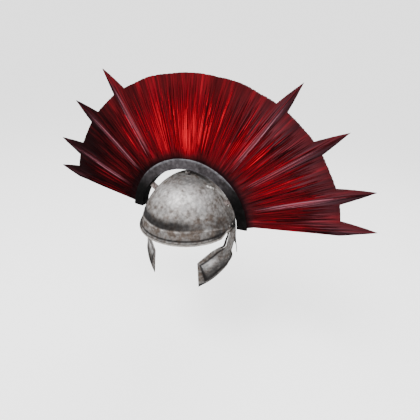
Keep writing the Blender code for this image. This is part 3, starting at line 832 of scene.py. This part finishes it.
        # Painted highlight on the ridge, less to the left, and painted glints on the dents
        glint = np.zeros(len(points))
        for place, reach in self.glints:
            away = (points - np.array(place)) * self.glint_squeeze
            glint = np.maximum(glint, bell(np.linalg.norm(away, axis=1), 0.0, reach))
        edge = 0.26 * ridge * (1.0 - 0.6 * ramp(around, 20.0, 45.0)) + 1.6 * glint
        set_attributes(
            piece, points.shape[:1],
            grime=np.clip(grime, 0.0, 1.0), shine=np.clip(shine, -0.4, 1.0), edge=edge,
        )


@dataclass
class BrowEdging:
    """Bright strip folded over the brow's lower edge, from temple to temple."""

    wall: float = 0.0008
    leg: float = 0.0044
    gap: float = 0.0004
    arc_points: int = 6
    marks: Hammering = Hammering(seed=11, count=260, radius=0.005, depth=0.00022)

    def outline(self, bowl_wall: float) -> Array:
        """Section of the strip: outward and upward from the sheet's edge, with a round fold.

        Args:
            bowl_wall: thickness of the sheet that it grips.
        Returns:
            The outline's points.
        """
        inner, outer = -(bowl_wall + self.gap + self.wall), self.gap + self.wall
        fold = (outer - inner) / 2
        turn = np.linspace(0.0, math.pi, self.arc_points * 2)
        middle = (outer + inner) / 2
        under = np.stack((middle + fold * np.cos(turn), fold - outer - fold * np.sin(turn)), axis=1)
        lip = self.wall / 2
        cap = np.linspace(0.0, math.pi, self.arc_points)
        left, right = (
            np.stack((middle - lip * np.cos(cap), self.leg + lip * np.sin(cap)), axis=1)
            for middle in (inner + lip, outer - lip)
        )
        hollow = np.array(((inner + self.wall, -self.gap), (outer - self.wall, -self.gap)))
        return np.concatenate((under, left, hollow, right))

    def build(self, bowl: Bowl, finish: Material) -> Piece:
        """Carries the outline along the brow's edge.

        Args:
            bowl: the sheet that the strip grips.
            finish: its material.
        Returns:
            The strip.
        """
        degrees = np.linspace(-bowl.temple_start, bowl.temple_start, 241)
        edge = bowl.flare_point(degrees, np.ones_like(degrees))
        along = np.gradient(edge, axis=0)
        along /= np.linalg.norm(along, axis=1)[:, None]
        up = bowl.crown_base(degrees) - edge
        outward = np.cross(along, up)
        outward /= np.linalg.norm(outward, axis=1)[:, None]
        up = np.cross(outward, along)
        outline = self.outline(bowl.wall)
        offsets = outward[:, None] * outline[None, :, :1] + up[:, None] * outline[None, :, 1:]
        points = edge[:, None] + offsets
        piece = make_mesh("brow_edging", points, loft_faces(*points.shape[:2]))
        push_in(piece, self.marks.depths(points))
        across = outline[None, :, 1]
        # Painted shadow line along the top of the strip, under the flare; the strip's lower part
        # brighter
        set_attributes(
            piece, points.shape[:2],
            grime=0.6 * ramp(across, self.leg * 0.75, self.leg),
            shine=0.4,
            edge=0.2 * fall(across, self.leg * 0.55, self.leg * 0.8),
        )
        dress(piece, finish, "helmet", "edging", "brow_binding")
        return piece


@dataclass(frozen=True)
class Bundle:
    """How a set of loose strands lies on the fan and how it is coloured."""

    seed: int
    start: tuple[float, float] = (0.0, 0.25)
    end: tuple[float, float] = (0.55, 0.985)
    joints: int = 9
    weave: float = 0.25
    lift: tuple[float, float] = (-0.0002, 0.0007)
    thickness: float = 0.0008
    tint_spread: float = 0.24


@dataclass
class Crest:
    """Arched channel, the posts that carry it and the fan of hair that stands in it."""

    setback: float = 0.0019
    centre_height: float = 0.0053
    inner_radius: float = 0.1229
    depth: float = 0.0237
    width: float = 0.0255
    wall: float = 0.0016
    foot: float = 4.3
    edge_round: float = 0.0007
    channel_marks: Hammering = Hammering(seed=13, count=240, radius=0.009, depth=0.0003)
    post_width: float = 0.0105
    post_forward: float = 0.0105
    post_gap: float = 0.0003
    post_round: float = 0.0011
    # Rings of a post: share of the way up, share of its width
    post_rings: Table = (
        (0.0, 0.93), (0.06, 0.99), (0.2, 1.0), (0.5, 0.98), (0.8, 1.0), (0.94, 0.99), (1.0, 0.93),
    )
    hair_seed: int = 21
    hair_clearance: float = 0.0004
    hair_centre_height: float = -0.0035
    hair_radius: float = 0.335
    hair_foot_root: float = 11.0
    hair_foot_rim: float = 9.66
    hair_root_depth: float = 0.0098
    hair_rim_depth: float = 0.0062
    lock_ridge: float = 0.0012
    lock_angle: float = 5.4
    spike_reach: float = 0.064
    spike_lift: float = 0.0034
    spike_forward: float = 0.011
    lock_strands: int = 34
    lock_joints: int = 12
    lock_spread: float = 0.85
    lock_thickness: float = 0.0010
    # Outline of the fan: degrees above the level line, share of hair_radius
    fan_outline: Table = (
        (9.0, 0.988), (20.8, 1.000), (31.8, 0.993), (40.0, 0.996), (48.5, 0.988), (57.0, 0.987),
        (65.5, 0.976), (72.0, 0.979), (81.0, 0.970), (90.0, 0.971),
    )
    # Pointed locks on each side: tip, lower base and upper base in degrees, share of spike_reach,
    # share of spike_forward
    spikes: Table = (
        (11.1, 9.66, 14.2, 1.00, 0.00), (22.6, 20.6, 25.6, 1.00, 0.35),
        (39.6, 37.6, 42.4, 0.90, 0.75), (56.6, 54.8, 59.2, 0.86, 1.00),
    )

    def build_channel(self, finish: Material) -> Piece:
        """Carries a U-shaped section, open outward, round the arc.

        Args:
            finish: its material.
        Returns:
            The channel.
        """
        half, low, r, w = self.width / 2, self.inner_radius, self.edge_round, self.wall
        high = low + self.depth
        right = np.array(
            (
                (half * 0.33, low), (half - r, low), (half - r * 0.3, low + r * 0.3),
                (half, low + r), (half, low + (high - low) * 0.33),
                (half, low + (high - low) * 0.66),
                (half, high - r), (half - r * 0.4, high), (half - w + r * 0.4, high),
                (half - w, high - r), (half - w, low + w),
            )
        )
        outline = np.roll(np.concatenate((right, right[::-1] * (-1.0, 1.0))), 7, axis=0)
        degrees = np.linspace(self.foot, 180.0 - self.foot, 181)
        angle = np.radians(degrees)[:, None]
        radius = outline[None, :, 1]
        y = np.broadcast_to(outline[None, :, 0] + self.setback, (degrees.size, len(outline)))
        z = radius * np.sin(angle) + self.centre_height
        points = np.stack((radius * np.cos(angle), y, z), axis=-1)
        faces = loft_faces(*points.shape[:2], flip=True)
        piece = make_mesh("channel_skin", points, faces, sharp=35.0)
        push_in(piece, self.channel_marks.depths(points))

        # Painted shade on the underside and down both legs, edges rubbed over the crown, a painted
        # sheen on top
        side = np.minimum(degrees, 180.0 - degrees)[:, None]
        height = (radius - low) / (high - low)
        face = np.abs(outline[None, :, 0]) > half * 0.9
        underside = (height < 0.02) & ~face
        legs = np.where(degrees[:, None] < 90.0, fall(side, 10.0, 62.0), fall(side, 8.0, 48.0))
        lightened = 0.75 * bell(height, 0.985, 0.04) + 0.45 * bell(height, 0.02, 0.035)
        set_attributes(
            piece, points.shape[:2],
            grime=np.clip(0.9 * legs + 1.0 * underside + 0.2, 0.0, 1.2),
            edge=lightened * face * ramp(side, 22.0, 62.0),
            shine=0.85 * bell(degrees, 92.0, 34.0)[:, None],
        )
        dress(piece, finish, "helmet", "dark_iron", "crest_channel")
        return piece

    def build_post(self, place: PostPlace, carrier: BVHTree, finish: Material) -> Piece:
        """Square post with rounded corners, between the bowl and the channel.

        Args:
            place: which of the three posts.
            carrier: the bowl's own faces, which the post's foot follows.
            finish: its material.
        Returns:
            The post.
        """
        angle = math.radians(place.value)
        centre = Vector((0.0, self.setback, self.centre_height))
        out = Vector((math.cos(angle), 0.0, math.sin(angle)))
        side = Vector((-math.sin(angle), 0.0, math.cos(angle)))
        forward = self.post_forward if place is PostPlace.TOP else 0.0
        half, r = self.post_width / 2, self.post_round
        turns = np.radians(np.arange(0, 91, 30)[None, :] + np.arange(0, 271, 90)[:, None])
        middles = np.array(((1, 1), (-1, 1), (-1, -1), (1, -1))) * (half - r)
        corners = middles[:, None] + r * np.stack((np.cos(turns), np.sin(turns)), axis=-1)
        head_radius = self.inner_radius - self.post_gap
        lines = []
        for across, along in corners.reshape(-1, 2):
            start = centre + side * across + Vector((0.0, along - forward, 0.0))
            head = start + out * math.sqrt(head_radius**2 - across**2)
            foot = carrier.ray_cast(head, -out)[0] - out * self.post_gap
            lines.append((np.array(foot), np.array(head)))
        feet, heads = (np.array(end) for end in zip(*lines))
        shares, tuck = np.array(self.post_rings).T
        rings = feet[None] + (heads - feet)[None] * shares[:, None, None]
        centres = rings.mean(axis=1, keepdims=True)
        rings = centres + (rings - centres) * tuck[:, None, None]
        size = rings.shape[1]
        ends = (rings[0].mean(axis=0)[None], rings[-1].mean(axis=0)[None])
        points = np.concatenate((rings.reshape(-1, 3), *ends))
        last = len(points) - 1
        ring = np.arange(size)
        following = (ring + 1) % size
        start_fan = np.stack((np.full(size, last - 1), following, ring), axis=1)
        end_fan = np.stack((np.full(size, last), ring, following), axis=1)
        end_fan[:, 1:] += (len(shares) - 1) * size
        faces = [grid_faces(len(shares), size, wrap=True), start_fan, end_fan]
        name = place.name.lower()
        piece = make_mesh(f"post_skin_{name}", points, faces, sharp=50.0)
        share = np.concatenate((np.repeat(shares, size), (0.0, 1.0)))
        # Painted shade at the foot, on the bowl, and at the head, under the channel; the top post
        # darker all over
        top_darkening = 0.55 if place is PostPlace.TOP else 0.0
        grime = 0.35 * fall(share, 0.0, 0.4) + 0.3 * ramp(share, 0.7, 1.0) + top_darkening
        set_attributes(piece, points.shape[:1], grime=grime, shine=0.35, edge=0.25)
        dress(piece, finish, "helmet", "post_metal", f"crest_post_{name}")
        return piece

    def spike_at(self, degrees: Array) -> tuple[Array, ...]:
        """Share of the way in to a pointed lock's middle, its reach, its bend, its lower half.

        Args:
            degrees: angle round the fan.
        Returns:
            Those four, each 0 away from the locks.
        """
        side = np.minimum(degrees, 180.0 - degrees)
        proud, reach, bend, under = (np.zeros_like(side) for _ in range(4))
        for tip, lower, upper, long, forward in self.spikes:
            base = np.where(side < tip, lower, upper)
            inside = (side >= lower) & (side <= upper)
            proud = np.where(inside, (side - base) / (tip - base), proud)
            reach = np.where(inside, self.spike_reach * long, reach)
            bend = np.where(inside, self.spike_forward * forward, bend)
            under = np.where(inside & (side < tip), 1.0, under)
        return proud, reach, bend, under

    def rim_radius(self, degrees: Array) -> Array:
        """Outer radius of the fan: straight lines between the outline's corners.

        Args:
            degrees: angle round the fan.
        Returns:
            The radius.
        """
        side = np.minimum(degrees, 180.0 - degrees)
        corners = np.array(self.fan_outline)
        return self.hair_radius * np.interp(side, corners[:, 0], corners[:, 1])

    def fan_point(self, degrees: Array, share: Array, lift: Array, face: float) -> Array:
        """Place on the fan's front or back.

        A strand is a straight line from its root on the channel's lip to the rim. The fan thins by
        share squared on the way, and a pointed lock stands proud of it by share (1 - share^4).

        Args:
            degrees: the strand's angle at the rim.
            share: how far along the strand, from 0 at the channel to 1 at the rim or the tip.
            lift: how far the place stands off the fan.
            face: -1 for the front, 1 for the back.
        Returns:
            The places, with X, Y and Z last.
        """
        centre = self.centre_height - self.hair_centre_height
        away = np.abs(degrees - 90.0) / (90.0 - self.hair_foot_rim)
        turn = self.hair_foot_root - self.hair_foot_rim
        root = degrees + np.sign(90.0 - degrees) * turn * away
        backing = np.radians(self.foot + (90.0 - self.foot) * (1.0 - away))
        lip = self.inner_radius + self.depth
        start = np.hypot(lip * np.cos(backing), centre + lip * np.sin(backing)) + self.wall
        proud, reach, bend, _ = self.spike_at(degrees)
        outer = self.rim_radius(degrees) + reach * proud
        angle = np.radians(root + (degrees - root) * share)
        radius = start + (outer - start) * share
        lock = np.cos(2.0 * math.pi * (degrees - 90.0) / self.lock_angle)
        depth = self.hair_root_depth + (self.hair_rim_depth - self.hair_root_depth) * share**2
        depth = depth + self.lock_ridge * lock * (1.0 - share**3)
        depth = depth + self.spike_lift * proud * share * (1.0 - share**4)
        depth = depth - self.hair_rim_depth * 0.8 * proud * share**8
        y = face * (depth + lift) - bend * proud * share**6 + self.setback
        z = radius * np.sin(angle) + self.hair_centre_height
        return np.stack((radius * np.cos(angle), y, z), axis=-1)

    def tint(self, degrees: Array, share: Array) -> Array:
        """Mean brightness of the hair, with painted light and shade: high over the crown, low at
        the feet and at the rim.

        Args:
            degrees: angle round the fan.
            share: share of the way to the rim.
        Returns:
            The brightness.
        """
        # Painted light over the crown and beside it
        crown = bell(degrees, 91.0, 6.5)
        crown = crown + 0.30 * bell(degrees, 70.0, 5.0) + 0.35 * bell(degrees, 110.0, 6.0)
        # One side of the fan darker than the other: painted shade
        right = ramp(90.0 - degrees, 10.0, 45.0)
        left = ramp(degrees - 90.0, 25.0, 70.0)
        body = 0.36 - 0.02 * right - 0.31 * left
        # Painted shade at the roots in the channel; painted light along the middle over the crown
        root = -0.40 * bell(share, 0.0, 0.05)
        middle = 0.42 * bell(share, 0.24, 0.34) * crown
        rim = (-0.10 + 0.12 * bell(degrees, 88.0, 18.0)) * ramp(share, 0.45, 0.85)
        proud, _, _, under = self.spike_at(degrees)
        # Pointed locks darker, most on their lower half: painted shade
        lock = (-0.06 - 0.26 * under) * np.minimum(proud * 3.0, 1.0) * ramp(share, 0.45, 0.8)
        return body + root + middle + rim + lock

    def build_hair(self, finish: Material) -> Piece:
        """Builds the fan's body: fine radial strands on both faces, closed at rim and feet.

        Args:
            finish: its material.
        Returns:
            The body of the fan.
        """
        rng = np.random.default_rng(self.hair_seed)
        keys = sorted({angle for spike in self.spikes for angle in spike[:3]})
        keys += [180.0 - angle for angle in reversed(keys)]
        degrees = np.unique(np.concatenate((np.linspace(keys[0], keys[-1], 940), keys)))
        count = degrees.size
        shares = np.concatenate((np.linspace(0.0, 0.9, 24), (0.94, 0.97, 0.99, 1.0)))
        grid, along = np.meshgrid(degrees, shares)
        fine = smooth_noise(rng, count, 0.9) * 0.0006
        broad = smooth_noise(rng, count, 5.0) * 0.0009
        drift = smooth_noise(rng, count, 3.0)
        wave = 1.0 + 0.35 * drift * np.sin(along * 7.0 + drift * 3.0)
        relief = (fine * ramp(along, 0.0, 0.06) * wave + broad * along * (1.0 - along)) * 0.9
        jagged = 1.0 + rng.uniform(-0.004, 0.0035, count) * along**6
        front, back = (self.fan_point(grid, along * jagged, relief, face) for face in (-1.0, 1.0))
        backing = self.backing_lines(degrees)
        section = np.concatenate((backing[:2], front, back[::-1], backing[2:])).transpose(1, 0, 2)
        piece = make_mesh("hair_fan", section, loft_faces(*section.shape[:2]), sharp=70.0)

        def closed(values: Array, inner: float) -> Array:
            """Values of both faces, and one for the two lines of the backing behind each."""
            edge = np.full((2, count), inner)
            return np.concatenate((edge, values, values[::-1], edge)).T

        streak = 0.30 * smooth_noise(rng, count, 2.2) + 0.22 * smooth_noise(rng, count, 7.0)
        ragged = smooth_noise(rng, count, 1.5)
        tint = self.tint(grid, along / (1.0 + 0.55 * ragged))
        tint = tint + streak * (ramp(along, 0.0, 0.15) * (1.0 - 0.35 * along))
        # Painted sheen: a grey veil over one side of the fan, and pale streaks along the pointed
        # locks
        veil = 0.13 * ramp(90.0 - grid, 10.0, 40.0) * bell(along, 0.55, 0.35)
        pale = veil + 0.10 * self.spike_at(degrees)[0] * bell(along, 0.62, 0.25)
        shape = section.shape[:2]
        # The backing inside the channel darkest: painted shade
        set_attributes(piece, shape, tint=closed(tint, 0.05), pale=closed(pale, 0.0))
        set_uv(piece, np.broadcast_to(degrees[:, None] / 180.0, shape), closed(along, 0.0))
        dress(piece, finish, "helmet", "horsehair", "crest_hair")
        return piece

    def backing_lines(self, degrees: Array) -> Array:
        """The backing's four lines in the channel: front floor, front lip, back lip, back floor.

        Args:
            degrees: angle round the fan.
        Returns:
            The four lines.
        """
        away = np.abs(degrees - 90.0) / (90.0 - self.hair_foot_rim)
        foot = self.foot + (90.0 - self.foot) * (1.0 - away)
        angle = np.radians(np.where(degrees <= 90.0, foot, 180.0 - foot))
        floor = self.inner_radius + self.wall + self.hair_clearance
        lip = self.inner_radius + self.depth
        inside = self.width / 2 - self.wall - self.hair_clearance
        lines = []
        for radius, y in ((floor, -inside), (lip, -inside), (lip, inside), (floor, inside)):
            x, z = radius * np.cos(angle), radius * np.sin(angle) + self.centre_height
            lines.append(np.stack((x, np.full_like(x, y + self.setback), z), axis=-1))
        return np.array(lines)

    def build_strands(
        self, name: str, finish: Material, roots: Array, face: float, bundle: Bundle
    ) -> Piece:
        """Lays loose strands over one face of the fan.

        Each strand is a three-sided thread, thin at both ends, that weaves a little to either side.

        Args:
            name: the piece's name.
            finish: its material.
            roots: angle of each strand at the rim.
            face: -1 for the front, 1 for the back.
            bundle: how the strands of this piece lie and look.
        Returns:
            The strands as one piece.
        """
        rng = np.random.default_rng(bundle.seed)
        count = roots.size
        first, last = draw(rng, count, *bundle.start), draw(rng, count, *bundle.end)
        t = np.linspace(0.0, 1.0, bundle.joints)[None, :]
        share = first + (last - first) * t
        phase = draw(rng, count, 0.0, 2.0 * math.pi)
        weave = rng.normal(0.0, bundle.weave, count)[:, None] * np.sin(share * 6.0 + phase) * share
        foot = self.hair_foot_rim
        degrees = np.clip(roots[:, None] + weave, foot, 180.0 - foot)
        arch = np.sin(math.pi * np.clip(t, 0.02, 0.98)) ** 0.5
        lift = draw(rng, count, *bundle.lift) * arch
        radius = bundle.thickness * draw(rng, count, 0.6, 1.4)
        shade = rng.normal(0.0, bundle.tint_spread, count)[:, None]
        tint = self.tint(degrees, share) + shade * (0.35 + 0.65 * np.sin(math.pi * t))
        pale = np.zeros_like(share)
        return self.threads(name, finish, face, degrees, share, lift, radius, tint, pale)

    def build_locks(self, name: str, finish: Material, face: float, seed: int) -> Piece:
        """Lays strands with a painted sheen along each pointed lock, drawn together towards its
        tip.

        A strand's angle is its lock's own plus offset (1 - share^2).

        Args:
            name: the piece's name.
            finish: its material.
            face: -1 for the front, 1 for the back.
            seed: starts the random numbers.
        Returns:
            The strands as one piece.
        """
        rng = np.random.default_rng(seed)
        tips = np.array([spike[0] for spike in self.spikes[1:]])
        tips = np.concatenate((tips, 180.0 - tips))
        count = tips.size * self.lock_strands
        tip = np.repeat(tips, self.lock_strands)[:, None]
        offset = np.clip(rng.normal(0.0, self.lock_spread, count), -3.0, 3.0)[:, None]
        first, last = draw(rng, count, 0.02, 0.3), draw(rng, count, 0.7, 0.985)
        share = first + (last - first) * np.linspace(0.0, 1.0, self.lock_joints)[None, :]
        drawn_in = offset * (1.0 - share**2)
        degrees = tip + drawn_in + 0.25 * np.sin(share * 7.0 + offset * 5.0) * (1.0 - share)
        lift = draw(rng, count, 0.0002, 0.0012) * np.ones_like(share)
        radius = self.lock_thickness * draw(rng, count, 0.5, 1.3)
        strength = np.where(rng.random(count) < 0.22, 0.9, 0.16)[:, None]
        strength = strength * draw(rng, count, 0.7, 1.0) * np.where(tip > 90.0, 0.75, 1.0)
        fading = ramp(share, 0.03, 0.25) * fall(share, 0.62, 0.92)
        tint = self.tint(degrees, share) + rng.normal(0.06, 0.18, count)[:, None]
        # Painted sheen along the middle of each lock
        pale = strength * fading
        return self.threads(name, finish, face, degrees, share, lift, radius, tint, pale)

    def threads(
        self, name: str, finish: Material, face: float, degrees: Array, share: Array,
        lift: Array, radius: Array, tint: Array, pale: Array,
    ) -> Piece:
        """Makes three-sided threads, thin at both ends, along lines on one face of the fan.

        Args:
            name: the piece's name.
            finish: its material.
            face: -1 for the front, 1 for the back.
            degrees: angle of each joint, one thread on each line.
            share: how far along the fan each joint lies.
            lift: how far each joint stands off the fan.
            radius: radius of each thread at its middle.
            tint: brightness at each joint.
            pale: how bleached the thread is at each joint.
        Returns:
            The threads as one piece.
        """
        count, joints = degrees.shape
        t = np.linspace(0.0, 1.0, joints)[None, :]
        middle = self.fan_point(degrees, share, lift, face)
        along = np.gradient(middle, axis=1)
        along /= np.linalg.norm(along, axis=2)[..., None]
        off = np.broadcast_to(np.array((0.0, face, 0.0)), along.shape)
        beside = np.cross(along, off)
        thickness = radius * (np.sin(math.pi * t) ** 0.45 + 0.04)
        turns = np.radians((90.0, 210.0, 330.0))[:, None, None, None]
        around = np.cos(turns) * beside[None] + np.sin(turns) * off[None]
        points = (middle[None] + around * thickness[None, :, :, None]).transpose(1, 2, 0, 3)
        size = joints * 3
        offsets = np.arange(count)[:, None, None] * size
        sides = (grid_faces(joints, 3, wrap=True)[None] + offsets).reshape(-1, 4)
        tips = np.array(((2, 1, 0), (size - 3, size - 2, size - 1)))
        caps = (tips[None] + offsets).reshape(-1, 3)
        if face > 0:
            sides, caps = sides[:, ::-1], caps[:, ::-1]
        piece = make_mesh(name, points, [sides, caps], sharp=180.0)
        shape = points.shape[:3]
        set_attributes(piece, shape, tint=tint[..., None], pale=pale[..., None])
        uv = (degrees / 180.0, share)
        set_uv(piece, *(np.broadcast_to(values[..., None], shape) for values in uv))
        dress(piece, finish, "helmet", "horsehair")
        return piece


@dataclass
class CheekGuard:
    """Plate curved round the jaw, with a raised border round a sunk panel."""

    side: Side
    wall: float = 0.0014
    drop: float = 0.133
    front: float = 0.062
    lean: float = 0.030
    sink: float = 0.0013
    border: float = 0.0085
    border_rear: float = 0.0055
    bevel: float = 0.0018
    panel_top: float = 0.38
    # Outer face of the plate at its hinge, from the middle of the helmet
    hinge_face: float = 0.1076071
    axis_height: float = 0.0042
    top_gap: float = 0.0031
    marks: Hammering = Hammering(seed=17, count=130, radius=0.0075, depth=0.00022)
    # Plan: share of front ahead of the origin, share of hinge_face out
    plan: Table = (
        (-0.40, 1.018), (-0.15, 1.008), (0.05, 1.002), (0.27, 0.984), (0.42, 0.938), (0.55, 0.868),
        (0.80, 0.690), (1.00, 0.500),
    )
    # Outline from top to tip: front edge ahead and down, rear edge ahead and down, as shares
    outline: Table = (
        (0.240, 0.000, -0.400, 0.000), (0.349, 0.086, -0.425, 0.130), (0.418, 0.188, -0.400, 0.294),
        (0.490, 0.210, -0.215, 0.425), (0.571, 0.226, -0.305, 0.524), (0.703, 0.274, -0.270, 0.595),
        (0.785, 0.324, 0.060, 0.628), (0.856, 0.376, 0.371, 0.683), (0.930, 0.442, 0.650, 0.826),
        (1.004, 0.508, 0.975, 0.993),
    )

    def edges(self, share: Array) -> tuple[Array, Array]:
        """Front and rear edge as Y and Z, at shares of the plate's length.

        Args:
            share: shares of the length, from the top.
        Returns:
            The two edges.
        """
        places = np.linspace(0.0, 1.0, len(self.outline))
        table = tuple((place, *row) for place, row in zip(places, self.outline))
        top = self.axis_height - self.top_gap
        length = self.drop + top
        y = [-curve(share, table, column) * self.front for column in (1, 3)]
        z = [top - curve(share, table, column) * length for column in (2, 4)]
        return np.stack((y[0], z[0]), axis=-1), np.stack((y[1], z[1]), axis=-1)

    def build(self, finish: Material) -> Piece:
        """Builds the plate as a grid from front edge to rear edge, then gives it its wall.

        Args:
            finish: its material.
        Returns:
            The cheek guard.
        """
        shares = np.linspace(0.0, 1.0, 96)
        front, rear = self.edges(shares)
        width = np.linalg.norm(rear - front, axis=1)[:, None]
        across = np.linspace(0.0, 1.0, 61)[None, :]
        flat = front[:, None] + (rear - front)[:, None] * across[..., None]
        tenth = np.array((0.9, 1.0))
        steps = [np.linalg.norm(edge[1] - edge[0]) for edge in self.edges(tenth)]
        length = 10.0 * (steps[0] + steps[1]) / 2
        from_front, from_rear = across * width, (1.0 - across) * width
        from_end = (1.0 - shares)[:, None] * length
        inside = np.minimum(from_front - self.border, from_rear - self.border_rear)
        inside = np.minimum(inside, from_end - self.border)
        fade = ramp(shares, self.panel_top - 0.10, self.panel_top + 0.06)[:, None]
        panel = ramp(inside, 0.0, self.bevel) * fade
        groove = bell(inside, self.bevel * 0.7, self.bevel * 1.2) * fade
        rim = np.minimum(np.minimum(from_front, from_rear), from_end)
        sunk = self.sink * panel + 0.0003 * groove + 0.0004 * fall(rim, 0.0, 0.0016)
        reach = self.hinge_face * curve(-flat[..., 0] / self.front, self.plan, 1)
        x = reach + self.lean * (self.axis_height - flat[..., 1]) - sunk
        points = np.stack((self.side.value * x, flat[..., 0], flat[..., 1]), axis=-1)
        faces = grid_faces(*points.shape[:2])
        if self.side is Side.LEFT:
            faces = faces[:, ::-1]
        side = self.side.name.lower()
        piece = make_mesh(f"cheek_skin_{side}", points, [faces], sharp=60.0)
        push_in(piece, self.marks.depths(points))

        # Darker in the groove and at the tip, a painted shadow on the strap's front edge, a pale
        # patch low down
        strap = 1.0 - fade
        low = ramp(-points[..., 2], 0.05, 0.135)
        shadow = 0.75 * fall(from_front, 0.002, 0.008) * strap
        back = 0.15 * panel * ramp(across, 0.38, 0.80)
        tip = fall(np.hypot(from_rear, from_end), 0.002, 0.008)
        foot = 0.5 * fall(from_rear, 0.0008, 0.0026) + 0.9 * tip
        grime = 0.50 * groove + 0.05 * low + foot + shadow + back + 0.06 * panel + 0.36
        patch = panel * bell(across, 0.22, 0.22) * bell(shares, 0.84, 0.12)[:, None]
        brightening = 0.30 * fall(rim, 0.001, 0.004) * (from_front < from_rear) * fade
        brightening = bell(from_front, 0.0062, 0.0014) * strap + brightening
        set_attributes(
            piece, points.shape[:2],
            grime=np.clip(grime, 0.0, 1.2), shine=2.2 * patch, edge=np.clip(brightening, 0.0, 1.0),
        )
        add_wall(piece, self.wall)
        dress(piece, finish, f"cheek_{side}", "steel", f"cheek_guard_{side}")
        return piece


@dataclass
class Studio:
    """Pale floor, soft lights and the camera at the photograph's angle."""

    floor_height: float = -0.42
    floor_half: float = 30.0
    eye: tuple[float, float, float] = (0.2845, -0.5712, 0.3303)
    yaw: float = 22.054
    pitch: float = 25.175
    roll: float = 3.458
    view_angle: float = 70.0
    world_strength: float = 2.2
    aim_height: float = 0.08
    # Soft lights: place, power in watts, width
    lights: tuple = (
        ((-0.40, -1.25, 2.0), 70.0, 0.9),
        ((1.4, -1.2, 1.0), 12.0, 1.0),
        ((0.2, 1.3, 1.6), 20.0, 1.4),
    )

    def build(self, paper: Material) -> None:
        """Builds the floor, the world, the lights and the camera.

        Args:
            paper: the floor's material.
        """
        half = self.floor_half
        corners = np.array(((-half, -half), (half, -half), (half, half), (-half, half)))
        points = np.column_stack((corners, np.full(4, self.floor_height)))
        floor = make_mesh("studio_floor", points, [np.array([[0, 1, 2, 3]])])
        floor.data.materials.append(paper)
        world = bpy.data.worlds.new("studio")
        world.use_nodes = True
        backdrop = world.node_tree.nodes["Background"]
        backdrop.inputs["Color"].default_value = (1.0, 1.0, 1.0, 1.0)
        backdrop.inputs["Strength"].default_value = self.world_strength
        bpy.context.scene.world = world
        for number, (place, power, width) in enumerate(self.lights):
            light = bpy.data.lights.new(f"soft_light_{number}", "AREA")
            light.energy, light.size = power, width
            lamp = bpy.data.objects.new(light.name, light)
            lamp.location = place
            aim = Vector((0.0, 0.0, self.aim_height)) - lamp.location
            lamp.rotation_euler = aim.to_track_quat("-Z", "Y").to_euler()
            bpy.context.scene.collection.objects.link(lamp)
        self.build_camera()

    def build_camera(self) -> None:
        """Sets the camera from its heading, its downward tilt and its roll."""
        yaw, pitch, roll = (math.radians(angle) for angle in (self.yaw, self.pitch, self.roll))
        reach = math.cos(pitch)
        ahead = Vector((-math.sin(yaw) * reach, math.cos(yaw) * reach, -math.sin(pitch)))
        level = ahead.cross(Vector((0.0, 0.0, 1.0))).normalized()
        upright = level.cross(ahead)
        right = level * math.cos(roll) + upright * math.sin(roll)
        up = upright * math.cos(roll) - level * math.sin(roll)
        camera = bpy.data.cameras.new("camera")
        camera.sensor_width = 36.0
        camera.lens = camera.sensor_width / 2 / math.tan(math.radians(self.view_angle) / 2)
        camera.clip_start = 0.01
        holder = bpy.data.objects.new("camera", camera)
        turn = Matrix((right, up, -ahead)).transposed().to_4x4()
        holder.matrix_world = Matrix.Translation(self.eye) @ turn
        bpy.context.scene.collection.objects.link(holder)
        bpy.context.scene.camera = holder


def main() -> None:
    """Builds every piece in order."""
    logging.basicConfig(level=logging.INFO, format="%(message)s")
    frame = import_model()
    Studio().build(Paper().build())
    # The large sheets: dented, blotched, rubbed bright and painted with shade, highlights and a
    # reflection, so that they read as old hand work
    iron = WornIron("hammered iron").build()
    # The folded strip: paler and more even, a light line under the brow
    strip = WornIron("rubbed iron strip", pale="#a09c97", brown="#7d7671", blotch_mm=9.0)
    edging_iron = strip.build()
    # The channel: near black and a little glossier, so that its rubbed edges stand out
    arch = WornIron(
        "blackened iron", pale="#4e4a4d", brown="#1d1a1a", soot_and_shade="#060606", bright="#6a6a6f",
        roughness=0.42,
    )
    black_iron = arch.build()
    # The posts: browner, small blotches
    post_iron = WornIron("plain iron bar", pale="#8c7e7a", brown="#4c4140", blotch_mm=6.0).build()
    # The fan: deep red with painted light and shade, and strands with a painted sheen, for the soft
    # and streaky look of hair
    hair = DyedHorsehair("madder-dyed horsehair").build()

    bowl = Bowl()
    skull = bowl.build(iron)
    BrowEdging().build(bowl, edging_iron)
    crest = Crest()
    crest.build_channel(black_iron)
    corners = [vertex.co for vertex in skull.data.vertices]
    carrier = BVHTree.FromPolygons(corners, [face.vertices for face in skull.data.polygons])
    for place in PostPlace:
        crest.build_post(place, carrier, post_iron)
    crest.build_hair(hair)
    rng = np.random.default_rng(5)
    low, high = crest.hair_foot_rim, 180.0 - crest.hair_foot_rim
    crest.build_strands("strands_front", hair, rng.uniform(low, high, 1500), -1.0, Bundle(31))
    crest.build_strands("strands_back", hair, rng.uniform(low, high, 1100), 1.0, Bundle(32))
    crest.build_locks("locks_front", hair, -1.0, 41)
    crest.build_locks("locks_back", hair, 1.0, 42)
    for side in Side:
        CheekGuard(side).build(iron)
    for name, node in frame["nodes"].items():
        if name.startswith(KEPT_NODES):
            for slot in node.material_slots:
                slot.link = "OBJECT"
                slot.material = iron


if __name__ == "__main__":
    main()
